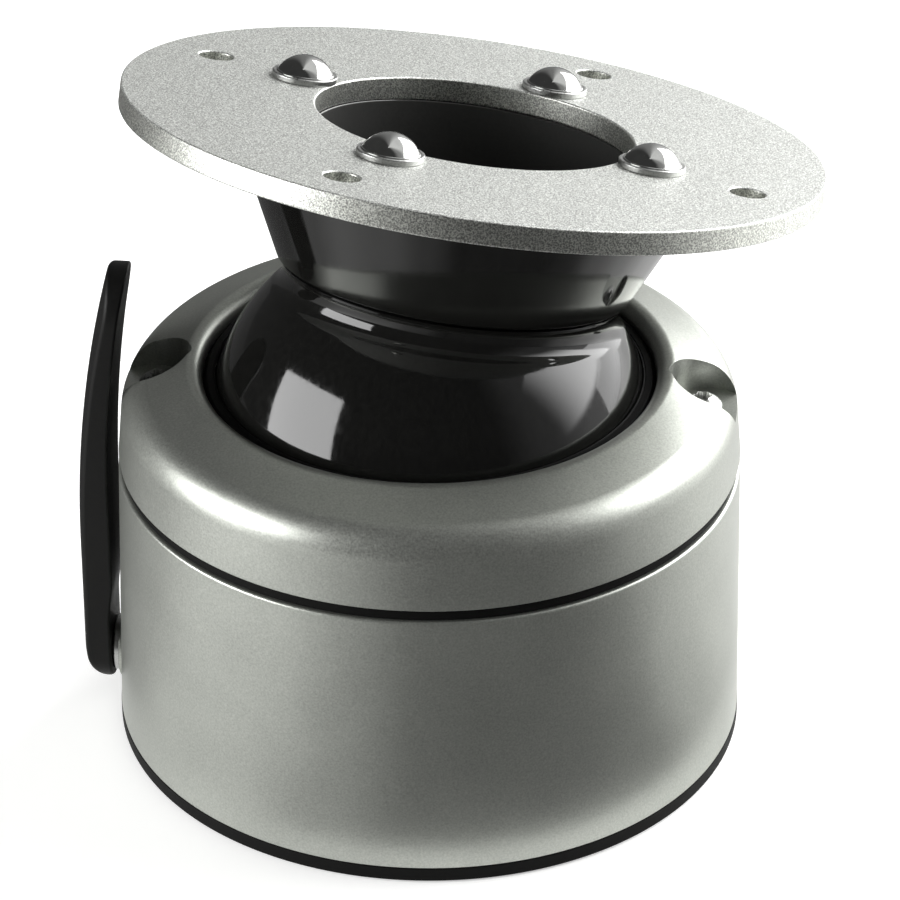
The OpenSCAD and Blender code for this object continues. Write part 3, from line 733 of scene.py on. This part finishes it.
class MOUNT_OT_neck(bpy.types.Operator):
    """Build the gloss black neck cone and its gasket"""

    bl_idname = "mount.neck"
    bl_label = "Neck"

    def execute(self, context):
        sizes = context.scene.mount_sizes
        neck = turned("neck", IN_BALL)
        rim_low = neck.high - sizes.neck_rim
        foot_in, foot_edge, rim_out, rim_rise = 0.4 * MM, 0.9 * MM, 1 * MM, 0.4 * MM
        rim_fillet, floor_fillet = 1.2 * MM, 1 * MM
        bm = bmesh.new()
        lathe(bm, rounded([
            (neck.inner, neck.low, SMALL_EDGE), (sizes.neck_foot - foot_in, neck.low, foot_edge),
            (neck.outer - rim_out, rim_low, rim_fillet), (neck.outer, rim_low + rim_rise, BROKEN_EDGE),
            (neck.outer, neck.high, SMALL_EDGE), (sizes.neck_bore, neck.high, SOFT_EDGE),
            (sizes.neck_bore, sizes.neck_floor, floor_fillet), (neck.inner, sizes.neck_floor, PLAIN_EDGE),
        ]), IN_BALL)
        to_axis = IN_BALL.inverted()
        for face in bm.faces:
            middle = to_axis @ face.calc_center_median()
            inside = math.hypot(middle.x, middle.y) < sizes.neck_bore + HAIR_EDGE
            face.material_index = 1 if inside else 0
        undercoat = dull_coat(context.scene.mount_finishes)
        finish_piece("mount_neck", "head", "gloss_black", ["neck"], bm, undercoat)
        gasket = ring_outline(turned("neck_gasket", IN_BALL), 0, THIN_EDGE, THIN_EDGE)
        turn_piece("mount_neck_gasket", "head", "black_rubber", ["neck_gasket"], gasket, IN_BALL)
        return {"FINISHED"}


class MOUNT_OT_ball(bpy.types.Operator):
    """Build the gloss black ball with its waist"""

    bl_idname = "mount.ball"
    bl_label = "Ball"

    def execute(self, context):
        sizes = context.scene.mount_sizes
        ball = turned("ball", IN_BALL)
        radius = ball.outer
        inside = radius - sizes.ball_wall
        bore = turned("neck", IN_BALL).inner
        waist = Vector((sizes.waist_out, sizes.waist_up))
        away = waist.length
        meet = math.acos((radius ** 2 + away ** 2 - sizes.waist_radius ** 2) / (2 * radius * away))
        crease_angle = math.atan2(waist.y, waist.x) - meet
        crease = Vector((radius * math.cos(crease_angle), radius * math.sin(crease_angle)))
        soft, hollow_soft = math.radians(0.9), math.radians(8.1)
        top = ball.high - waist.y
        hollow_start = math.atan2(top, -math.sqrt(sizes.waist_radius ** 2 - top ** 2))
        hollow_end = math.atan2(crease.y - waist.y, crease.x - waist.x) + FULL_TURN - hollow_soft
        mouth = -math.acos(sizes.ball_mouth / radius)
        mouth_in = -math.acos(sizes.ball_mouth / inside)
        top_in = math.asin(sizes.ball_floor / inside)
        hollow = arc(waist, sizes.waist_radius, hollow_start, hollow_end - hollow_start)
        sphere = arc((0, 0), radius, crease_angle - soft, mouth - crease_angle + soft, FINE_ARC_STEP)
        edge = [quadratic(hollow[-1], crease, sphere[0], step / 4) for step in (1, 2, 3)]
        outline = [(bore, ball.high)] + hollow + edge + sphere
        outline += arc((0, 0), inside, mouth_in, top_in - mouth_in, 2 * FINE_ARC_STEP)
        outline.append((bore, sizes.ball_floor))
        turn_piece("mount_ball", "head", "gloss_black", ["ball", "ball_bowl"], outline, IN_BALL)
        return {"FINISHED"}


def quadratic(start, corner, end, along):
    """Point on the curve from start to end that is drawn towards a corner."""
    back = 1 - along
    return tuple(
        back * back * first + 2 * back * along * pull + along * along * last
        for first, pull, last in zip(start, corner, end)
    )


class MOUNT_OT_cap_ring(bpy.types.Operator):
    """Build the silver cap ring with its shoulder, lip and screw recesses"""

    bl_idname = "mount.cap_ring"
    bl_label = "Cap Ring"

    def execute(self, context):
        sizes = context.scene.mount_sizes
        cap = turned("cap_ring")
        seal = turned("wiper_seal")
        bearing = turned("upper_bearing")
        bore = cap.inner
        slope = Vector((math.cos(sizes.cap_slope), -math.sin(sizes.cap_slope)))
        lip_middle = Vector((bore + sizes.cap_lip, sizes.cap_lip_up))
        lip_top = lip_middle + sizes.cap_lip * Vector((-slope.y, slope.x))
        wall_high, wall_thick, roof_high, hub_wall = 11.5 * MM, 5.3 * MM, 10.8 * MM, 4 * MM
        roof_fillet, shoulder_step = 1 * MM, math.radians(5)
        shoulder = crossing(lip_top, slope, (cap.outer, cap.low), Vector((-sizes.cap_draft, wall_high)))
        lip = crossing(lip_top, slope, (bore, cap.low), (0, 1))
        ledge = bore + SMALL_EDGE
        hub = bearing.outer + hub_wall
        wall_in = cap.outer - wall_thick
        roof = cap.low + roof_high
        groove_low, groove_high = seal.low, seal.low + SEAL_GROOVE
        bm = bmesh.new()
        lathe(bm, rounded([
            (cap.outer, cap.low, BROKEN_EDGE), (*shoulder, sizes.cap_shoulder), (*lip, sizes.cap_lip),
            (bore, groove_high, FINE_EDGE), (seal.outer, groove_high, 0), (seal.outer, groove_low, 0),
            (ledge, groove_low, 0), (ledge, bearing.high, 0), (bearing.outer, bearing.high, 0),
            (bearing.outer, bearing.low, SMALL_EDGE), (hub, bearing.low, SMALL_EDGE),
            (hub, roof, roof_fillet), (wall_in, roof, roof_fillet), (wall_in, cap.low, SMALL_EDGE),
        ], shoulder_step), steps=WIDE_STEPS)
        above = cap.high + TOOL_PAST
        recess = ((sizes.recess_out, sizes.recess_radius), (sizes.recess_nose_out, sizes.recess_nose))
        for side in (1, -1):
            wide, nose = [
                solid_tool(radius, sizes.recess_floor, above, Matrix.Translation((side * out, 0, 0)))
                for out, radius in recess
            ]
            bm = cut(bm, cut(wide, nose, "UNION"))
        soften_recess(bm, sizes)
        finish_piece("mount_cap_ring", "drum", "drum_silver", ["cap_ring"], bm)
        return {"FINISHED"}


def soften_recess(bm, sizes):
    """Rounds the rims of the screw recesses."""
    near_miss, beyond, least_turn = 0.05 * MM, 0.5 * MM, math.radians(28)
    bmesh.ops.remove_doubles(bm, verts=bm.verts, dist=near_miss)
    bmesh.ops.recalc_face_normals(bm, faces=bm.faces)
    reach = sizes.recess_radius + beyond
    rims = []
    for edge in bm.edges:
        middle = (edge.verts[0].co + edge.verts[1].co) / 2
        off_screw = Vector((abs(middle.x) - sizes.recess_out, middle.y))
        inside = off_screw.length < reach and middle.z > sizes.recess_floor - near_miss
        if inside and len(edge.link_faces) == 2 and edge.calc_face_angle() > least_turn:
            rims.append(edge)
    bmesh.ops.bevel(
        bm, geom=rims, offset=sizes.recess_edge, offset_type="OFFSET", segments=EDGE_SEGMENTS,
        profile=0.5, affect="EDGES", clamp_overlap=True,
    )


class MOUNT_OT_cap_screws(bpy.types.Operator):
    """Build the two pan-head screws in the cap ring's recesses"""

    bl_idname = "mount.cap_screws"
    bl_label = "Cap Screws"

    def execute(self, context):
        sizes = context.scene.mount_sizes
        screws = turned("cap_screws")
        bm = bmesh.new()
        for side in (0, math.pi):
            seat = Matrix.Translation(polar(sizes.cap_screw_out, side, sizes.recess_floor))
            lathe(bm, pan_head(sizes, screws.low - sizes.recess_floor), seat, TOOL_STEPS)
        finish_piece("mount_cap_screws", "drum", "plain_steel", ["cap_screws"], bm)
        return {"FINISHED"}


def pan_head(sizes, low):
    """Outline of a pan-head screw with a six-lobe recess, from its point to the recess's floor."""
    head, rise = sizes.cap_screw_head, sizes.cap_screw_rise
    shank, point, point_long, crown_more = 2.1 * MM, 1.47 * MM, 0.8 * MM, 0.8 * MM
    socket, socket_deep, lobe, dish = 1.95 * MM, 2 * MM, 0.3 * MM, 0.4 * MM
    bevel_wide, bevel_deep = 0.12 * MM, 0.15 * MM
    crown = dome_radius_of(head, rise) + crown_more
    crown_low = rise - crown
    side_top = crown_low + math.sqrt(crown ** 2 - head ** 2)
    first = math.atan2(side_top - crown_low, head)
    last = math.acos((socket + BROKEN_EDGE) / crown)
    lip = crown_low + math.sqrt(crown ** 2 - socket ** 2)
    floor = lip - socket_deep
    outline = [(0, low), (point, low), (shank, low + point_long), (shank, 0)]
    outline += [(head - FINE_EDGE, 0), (head, FINE_EDGE)]
    outline += arc((0, crown_low), crown, first, last - first, 2 * FINE_ARC_STEP)
    outline += [(socket + bevel_wide, lip, lobe), (socket, lip - bevel_deep, lobe)]
    return outline + [(socket * SOCKET_DRAFT, floor, lobe), (0, floor - dish)]


class MOUNT_OT_seals(bpy.types.Operator):
    """Build the black seal between ball and cap ring, and the gasket in the drum's seam"""

    bl_idname = "mount.seals"
    bl_label = "Wiper Seal and Seam Gasket"

    def execute(self, context):
        seal = turned("wiper_seal")
        ball = turned("ball", IN_BALL).outer + SMALL_EDGE
        groove_high = seal.low + SEAL_GROOVE
        lip_low, lip_wide, heel_wide = 0.8 * MM, 2.2 * MM, 1.9 * MM
        touch = math.sqrt(ball ** 2 - (seal.high - BALL_MID.z) ** 2)
        start = math.atan2(seal.high - BALL_MID.z, touch)
        end = math.asin((seal.low + lip_low - BALL_MID.z) / ball)
        outline = rounded([
            (ball * math.cos(end) + SMALL_EDGE, seal.low, FINE_EDGE), (seal.outer, seal.low, FINE_EDGE),
            (seal.outer, groove_high, FINE_EDGE), (seal.outer - heel_wide, groove_high, SOFT_EDGE),
            (touch + lip_wide, seal.high, PLAIN_EDGE), (touch + SOFT_EDGE, seal.high, FINE_EDGE),
        ])
        outline += arc((0, BALL_MID.z), ball, start, end - start, FINE_ARC_STEP)
        turn_piece("mount_wiper_seal", "drum", "black_rubber", ["wiper_seal"], outline)
        gasket = ring_outline(turned("seam_gasket"), FINE_EDGE, ROUND_EDGE, ROUND_EDGE)
        turn_piece("mount_seam_gasket", "drum", "black_rubber", ["seam_gasket"], gasket)
        return {"FINISHED"}


class MOUNT_OT_drum(bpy.types.Operator):
    """Build the silver drum and the black ring that it stands on"""

    bl_idname = "mount.drum"
    bl_label = "Drum and Base Ring"

    def execute(self, context):
        sizes = context.scene.mount_sizes
        drum = turned("housing")
        ring = turned("base_ring")
        bush = turned("shaft_bush", ON_SHAFT)
        wide = ring.outer - sizes.drum_draft * drum.low
        narrow = ring.outer - sizes.drum_draft * drum.high
        wall_in = narrow - sizes.drum_wall
        bm = bmesh.new()
        lathe(bm, rounded([
            (wide, drum.low, THIN_EDGE), (narrow, drum.high, sizes.drum_edge),
            (wall_in, drum.high, SOFT_EDGE), (wall_in, drum.low, SOFT_EDGE),
        ]), steps=WIDE_STEPS)
        bush_r = bush.outer - BUSH_STEP
        boss_wall, boss_face = 2 * MM, 1.9 * MM
        boss = solid_tool(bush_r + boss_wall, boss_face, bush.high - FINE_EDGE, ON_SHAFT, SMALL_EDGE)
        bm = cut(bm, boss, "UNION")
        bm = cut(bm, solid_tool(bush_r, -TOOL_PAST, bush.high + TOOL_PAST, ON_SHAFT))
        finish_piece("mount_drum", "drum", "drum_silver", ["housing"], bm)
        outline = ring_outline(ring, SMALL_EDGE, ROUND_EDGE, SOFT_EDGE)
        turn_piece("mount_base_ring", "drum", "black_rubber", ["base_ring"], outline, steps=WIDE_STEPS)
        return {"FINISHED"}


class MOUNT_OT_lever(bpy.types.Operator):
    """Build the bowed clamp lever, its screw and the bush behind it"""

    bl_idname = "mount.lever"
    bl_label = "Lever"

    def execute(self, context):
        sizes = context.scene.mount_sizes
        screw = turned("lever_screw", ON_SHAFT)
        seat_face, far_out = -5.5 * MM, -20 * MM
        seat = solid_tool(screw.outer + SMALL_EDGE, far_out, seat_face, ON_SHAFT, steps=SMALL_STEPS)
        finish_piece("mount_lever", "lever", "lever_black", ["lever"], cut(lever_blade(sizes), seat))
        dome = low_dome(screw, seat_face, sizes.lever_head)
        turn_piece("mount_lever_screw", "lever", "plain_steel", ["lever_screw"], dome, ON_SHAFT, SMALL_STEPS)
        bush = turned("shaft_bush", ON_SHAFT)
        body_r = bush.outer - BUSH_STEP
        flange_thick = 1.6 * MM
        flange_high = bush.low + flange_thick
        outline = rounded([
            (bush.inner, bush.low, FINE_EDGE), (bush.outer, bush.low, SOFT_EDGE),
            (bush.outer, flange_high, FINE_EDGE), (body_r, flange_high, 0), (body_r, bush.high, SMALL_EDGE),
            (bush.inner, bush.high, SMALL_EDGE),
        ])
        turn_piece("mount_shaft_bush", "drum", "plain_steel", ["shaft_bush"], outline, ON_SHAFT, SMALL_STEPS)
        return {"FINISHED"}


def low_dome(screw, seat, rise):
    """Outline of the lever's dome-head screw, from the recess's floor to its point inside the shaft."""
    shank, edge, step = 2.1 * MM, SOFT_EDGE, math.radians(5)
    socket, lobe, socket_deep, dish_deep = 1.5 * MM, 0.22 * MM, 1.1 * MM, 1.3 * MM
    crown = dome_radius_of(screw.outer, rise)
    middle = seat - rise + crown
    first = math.pi + math.acos((socket + SMALL_EDGE) / crown)
    last = math.pi + math.asin(min(1.0, (crown - rise + edge) / crown))
    lip = middle - math.sqrt(crown ** 2 - socket ** 2)
    outline = [(0, lip + dish_deep), (socket * SOCKET_DRAFT, lip + socket_deep, lobe)]
    outline.append((socket, lip + HAIR_EDGE, lobe))
    outline += [(-across, up) for across, up in arc((0, middle), crown, first, last - first, step)]
    outline += [(screw.outer - HAIR_EDGE, seat), (shank, seat)]
    return outline + [(shank, screw.high), (0, screw.high)]


def lever_blade(sizes):
    """Blade between a crowned, bowed outer face and a bowed inner face, lofted from its middle line."""
    low_up, high_up = SHAFT_END.z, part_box("lever")[1].z - sizes.lever_tip
    outside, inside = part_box("lever_screw")[0].x + HAIR_EDGE, SHAFT_END.x
    foot, tip = sizes.lever_foot, sizes.lever_tip
    # The foot's lower half is a little flatter than round, and an edge takes up to half the thickness
    foot_drop, edge_share = 0.945, 0.48

    def outer_face(across, up):
        crown = math.sqrt(sizes.lever_crown ** 2 - across ** 2) - sizes.lever_crown
        if up < sizes.lever_toe_up:
            radius, start = sizes.lever_toe, sizes.lever_toe_up
        elif up < sizes.lever_bow_up:
            return outside - crown
        else:
            radius, start = sizes.lever_bow, sizes.lever_bow_up
        return outside + radius - math.sqrt(max(0.0, (radius + crown) ** 2 - (up - start) ** 2))

    def inner_face(up):
        over = max(0.0, up - sizes.lever_hollow_up)
        bow = sizes.lever_hollow - math.sqrt(sizes.lever_hollow ** 2 - over ** 2)
        along = (up - sizes.lever_swell_low) / (sizes.lever_swell_high - sizes.lever_swell_low)
        along = min(1.0, max(0.0, along))
        return inside + bow + sizes.lever_swell * along * along * (3 - 2 * along)

    arc_steps, side_steps = 24, 48
    lean = math.asin((tip - foot) / (high_up - low_up))
    downs = [index / side_steps for index in range(1, side_steps)]
    # Points round the blade: a height on its middle line, and the way across and up from there
    rim = []

    def flank(side, shares):
        for along in shares:
            radius = tip + (foot - tip) * along
            middle = high_up + (low_up - high_up) * along
            rim.append((middle, side * radius * math.cos(lean), -radius * math.sin(lean)))

    for index in range(arc_steps + 1):
        turn = -lean + (math.pi + 2 * lean) * index / arc_steps
        rim.append((high_up, tip * math.cos(turn), tip * math.sin(turn)))
    flank(-1, downs)
    for index in range(arc_steps + 1):
        turn = math.pi + lean + (math.pi - 2 * lean) * index / arc_steps
        drop = foot_drop if math.sin(turn) < 0 else 1.0
        rim.append((low_up, foot * math.cos(turn), drop * foot * math.sin(turn)))
    flank(1, reversed(downs))

    turns = [math.radians(degrees) for degrees in (0, 18, 36, 54, 72, 90)]
    flats = (0.0, 0.2, 0.4, 0.6, 0.8)
    rows = [(part, None, -1) for part in flats] + [(None, turn, -1) for turn in turns]
    rows += [(part, turn, 1) for part, turn, _ in reversed(rows[:-1])]
    bm = bmesh.new()
    rings = []
    for part, turn, side in rows:
        ring = []
        for middle, across, up in rim:
            reach = math.hypot(across, up)
            thick = inner_face(middle + up) - outer_face(across, middle + up)
            edge = min(sizes.lever_edge, max(HAIR_EDGE, edge_share * thick))
            inset = 1 - edge / reach
            place = part * inset if turn is None else inset + math.sin(turn) * edge / reach
            depth = 0.0 if turn is None else edge * (1 - math.cos(turn))
            across_at, up_at = across * place, middle + up * place
            face = outer_face(across_at, up_at) + depth if side < 0 else inner_face(up_at) - depth
            ring.append(bm.verts.new((face, across_at, up_at)))
        rings.append(ring)
    bridge(bm, rings)
    return bm


class MOUNT_OT_inner_works(bpy.types.Operator):
    """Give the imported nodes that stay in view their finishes"""

    bl_idname = "mount.inner_works"
    bl_label = "Inner Works"

    def execute(self, context):
        slots = {part["node"]: part["material_slot"] for part in frame["record"]["subparts"]}
        for name, node in frame["nodes"].items():
            if node.hide_render:
                continue
            node.data.materials.clear()
            node.data.materials.append(finish_for(slots[name]))
        return {"FINISHED"}


Softbox = namedtuple("Softbox", "name azimuth elevation roll width height soft")

# Studio lamps: degrees to the viewer's right and up, roll, size in metres, and the shares of width and
# height over which a lamp fades in from its left side and its foot
LEFT_BOX = Softbox("left_softbox", -68.8, 16.4, 16.5, 0.95, 0.7, None)
RIGHT_BOX = Softbox("right_softbox", 116, 28, 0, 2.2, 0.95, (0.45, 0.1))
RIGHT_STRIP = Softbox("right_strip", 136, 3, 0, 1.3, 0.32, None)

# Point that the lamps look at, their distance from it, the floor's width and the radius of the cards that paint
# dark reflections
LAMP_AIM = Vector((0, 0, 0.1))
LAMP_AWAY = 1.3
FLOOR_SIZE = 6
FLAG_RADIUS = 2.2
WHITE = (1, 1, 1, 1)

# How far the cards that paint reflections open, by degrees to the viewer's right: these grades are painted light
# and dark reflections on the metal
SURROUND_OPENINGS = ((-90, 0), (40, 0), (70, 0.35), (100, 1), (160, 1), (185, 0.25), (210, 0), (270, 0))
TABLE_OPENINGS = (
    (-90, 0.3), (-65, 0.85), (-40, 0.75), (-20, 0.3), (0, 0), (45, 0), (62, 0.07), (80, 0.48),
    (100, 0.8), (120, 0.95), (150, 0.55), (180, 0), (240, 0), (270, 0.3),
)


def looking(stand, target):
    """Place of a lamp or camera that stands upright at one point and looks at another."""
    back = (stand - target).normalized()
    right = Vector((0, 0, 1)).cross(back).normalized()
    return Matrix.Translation(stand) @ Matrix((right, back.cross(right), back)).transposed().to_4x4()


def softbox(box, power):
    """Rectangular studio light, which may fade in from its left side and its foot."""
    lamp = bpy.data.lights.new(box.name, "AREA")
    lamp.shape = "RECTANGLE"
    lamp.size = box.width
    lamp.size_y = box.height
    lamp.energy = power
    if box.soft:
        lamp.use_nodes = True
        tree = lamp.node_tree
        spot = tree.nodes.new("ShaderNodeSeparateXYZ")
        fill(tree, spot, {"Vector": wire(tree, "NewGeometry", "Parametric", {})})
        fades = {}
        for index, (way, reach) in enumerate(zip("XY", box.soft)):
            inputs = {"Value": spot.outputs[way], "From Max": reach}
            fades[index] = wire(tree, "MapRange", "Result", inputs, interpolation_type="SMOOTHSTEP")
        both = wire(tree, "Math", "Value", fades, operation="MULTIPLY")
        fill(tree, tree.nodes["Emission"], {"Strength": both})
    turn, lift = math.radians(box.azimuth), math.radians(box.elevation)
    away = Vector((math.sin(turn) * math.cos(lift), -math.cos(turn) * math.cos(lift), math.sin(lift)))
    roll = Matrix.Rotation(math.radians(box.roll), 4, "Z")
    add_object(box.name, lamp).matrix_world = looking(LAMP_AIM + away * LAMP_AWAY, LAMP_AIM) @ roll


def flat_floor(material):
    """Flat studio floor just under the object."""
    bm = bmesh.new()
    below = Matrix.Translation((0, 0, CAD_BOX[0].z - SMALL_EDGE))
    spread = below @ Matrix.Diagonal((FLOOR_SIZE, FLOOR_SIZE, 1, 1))
    bmesh.ops.create_grid(bm, x_segments=1, y_segments=1, size=0.5, matrix=spread)
    return stage_mesh("studio_floor", bm, material)


def stage_mesh(name, bm, material):
    """Makes a stage object of a mesh."""
    card = mesh_object(name, bm)
    card.data.materials.append(material)
    return card


def painted_reflection_dome(dark):
    """Graded dome round the studio that only mirrors see, which paints dark reflections on the metal and is open
    behind the right softbox.
    """
    lifts = [math.radians(degrees) for degrees in range(0, 90, 11)]
    rows = [(FLAG_RADIUS * math.cos(lift), FLAG_RADIUS * math.sin(lift)) for lift in lifts]
    return round_flag("painted_reflection_dome", rows, graded_painted_reflection("painted_dome_reflection", SURROUND_OPENINGS, dark))


def painted_reflection_table(dark):
    """Graded ring on the floor that only mirrors see, a painted dark reflection which keeps the front of the
    drum's wall dark.
    """
    near, up = 0.095, 2 * MM
    rows = [(near, up), (FLAG_RADIUS, up)]
    return round_flag("painted_reflection_table", rows, graded_painted_reflection("painted_table_reflection", TABLE_OPENINGS, dark))


def round_flag(name, rows, material):
    """Stage card turned round the object from (radius, height) rows."""
    bm = bmesh.new()
    turns = [FULL_TURN * step / TOOL_STEPS for step in range(TOOL_STEPS)]
    bridge(bm, [[bm.verts.new(polar(out, turn, up)) for turn in turns] for out, up in rows])
    return stage_mesh(name, bm, material)


def graded_painted_reflection(name, openings, dark):
    """Glowing dark card for painted reflections, which lets light through by its direction: (azimuth, opening)
    pairs from -90 to 270.
    """
    material = bpy.data.materials.new(name)
    material.use_nodes = True
    tree = material.node_tree
    tree.nodes.remove(tree.nodes["Principled BSDF"])
    place = wire(tree, "TexCoord", "Object", {})
    turn = wire(tree, "TexGradient", "Fac", {"Vector": place}, gradient_type="RADIAL")
    ramp = tree.nodes.new("ShaderNodeValToRGB")
    ramp.color_ramp.interpolation = "EASE"
    stops = ramp.color_ramp.elements
    while len(stops) < len(openings):
        stops.new(0.5)
    for stop, (azimuth, opening) in zip(stops, openings):
        stop.position = (azimuth + 90) / 360
        stop.color = (opening, opening, opening, 1)
    fill(tree, ramp, {"Fac": turn})
    # Faint glow that mirrors show as the painted dark reflection
    reflection_paint = wire(tree, "Emission", "Emission", {"Strength": dark})
    gap = wire(tree, "BsdfTransparent", "BSDF", {})
    mix = wire(tree, "MixShader", "Shader", {"Fac": ramp.outputs["Color"], 1: reflection_paint, 2: gap})
    fill(tree, tree.nodes["Material Output"], {"Surface": mix})
    return material


def seen_or_mirrored(tree):
    """Socket that is 1 for rays that the camera, a mirror or glass sends out, and 0 for soft light."""
    path = tree.nodes.new("ShaderNodeLightPath").outputs
    seen = path["Is Camera Ray"]
    for ray in ("Is Glossy Ray", "Is Transmission Ray"):
        seen = wire(tree, "Math", "Value", {0: seen, 1: path[ray]}, operation="MAXIMUM")
    return seen


def floor_material(stage):
    """Pale floor that is lifted to white for the camera and keeps its shadows."""
    material = bpy.data.materials.new("studio_floor")
    material.use_nodes = True
    tree = material.node_tree
    inputs = {0: seen_or_mirrored(tree), 1: stage.floor_fill}
    lift = wire(tree, "Math", "Value", inputs, operation="MULTIPLY")
    fill(tree, tree.nodes["Principled BSDF"], {
        "Base Color": (*stage.floor, 1), "Roughness": 0.9,
        "Emission Color": WHITE, "Emission Strength": lift,
    })
    return material


def studio_world(stage):
    """White room for the camera and for mirrors, with a lower level of soft light."""
    world = bpy.data.worlds.new("studio_world")
    world.use_nodes = True
    tree = world.node_tree
    levels = {"Value": seen_or_mirrored(tree), "To Min": stage.ambient, "To Max": 1.0}
    level = wire(tree, "MapRange", "Result", levels)
    fill(tree, tree.nodes["Background"], {"Color": WHITE, "Strength": level})
    return world


class MOUNT_OT_stage(bpy.types.Operator):
    """Set up the floor, the studio light, the cards that paint dark reflections on the metal, and the camera"""

    bl_idname = "mount.stage"
    bl_label = "Stage"

    def execute(self, context):
        scene = context.scene
        stage = scene.mount_stage
        scene.view_settings.view_transform = "Standard"
        scene.world = studio_world(stage)
        flat_floor(floor_material(stage))
        softbox(LEFT_BOX, stage.left_power)
        softbox(RIGHT_BOX, stage.right_power)
        softbox(RIGHT_STRIP, stage.strip_power)
        # These cards are seen only in reflections: painted dark reflections, with no shadow and no soft light
        for flag in (painted_reflection_dome(stage.dark), painted_reflection_table(stage.table_dark)):
            flag.visible_camera = False
            flag.visible_diffuse = False
            flag.visible_shadow = False
        camera = bpy.data.cameras.new("photo_camera")
        camera.lens = stage.camera_lens
        scene.camera = add_object("photo_camera", camera)
        scene.camera.matrix_world = photo_view()
        return {"FINISHED"}


def photo_view():
    """Place of the camera: its orbit round the drum's axis, then a small aim to frame the object."""
    orbit = math.radians(4.7)
    stand = Vector((0, -964.74, 663.31)) * MM
    target = Vector((0, 0, 74.25)) * MM
    aim_right, aim_up = 0.0047, -0.0025
    aim = Matrix.Rotation(-aim_right, 4, "Y") @ Matrix.Rotation(-aim_up, 4, "X")
    return Matrix.Rotation(orbit, 4, "Z") @ looking(stand, target) @ aim


STEPS = (
    MOUNT_OT_flange_plate,
    MOUNT_OT_dome_bolts,
    MOUNT_OT_neck,
    MOUNT_OT_ball,
    MOUNT_OT_cap_ring,
    MOUNT_OT_cap_screws,
    MOUNT_OT_seals,
    MOUNT_OT_drum,
    MOUNT_OT_lever,
    MOUNT_OT_inner_works,
    MOUNT_OT_stage,
)


class MOUNT_PT_build(bpy.types.Panel):
    """Lists the steps that build the mount"""

    bl_label = "Mount"
    bl_idname = "MOUNT_PT_build"
    bl_space_type = "VIEW_3D"
    bl_region_type = "UI"
    bl_category = "Mount"

    def draw(self, context):
        for step in STEPS:
            self.layout.operator(step.bl_idname)
        for group in (context.scene.mount_sizes, context.scene.mount_finishes, context.scene.mount_stage):
            box = self.layout.box()
            for name in group.__annotations__:
                box.prop(group, name)


GROUPS = {"mount_sizes": MountSizes, "mount_finishes": MountFinishes, "mount_stage": MountStage}
CLASSES = (*GROUPS.values(), *STEPS, MOUNT_PT_build)


def register():
    for cls in CLASSES:
        bpy.utils.register_class(cls)
    for name, group in GROUPS.items():
        setattr(bpy.types.Scene, name, PointerProperty(type=group))


def unregister():
    for name in GROUPS:
        delattr(bpy.types.Scene, name)
    for cls in reversed(CLASSES):
        bpy.utils.unregister_class(cls)


def main():
    register()
    for step in STEPS:
        family, name = step.bl_idname.split(".")
        getattr(getattr(bpy.ops, family), name)()


if __name__ == "__main__":
    main()
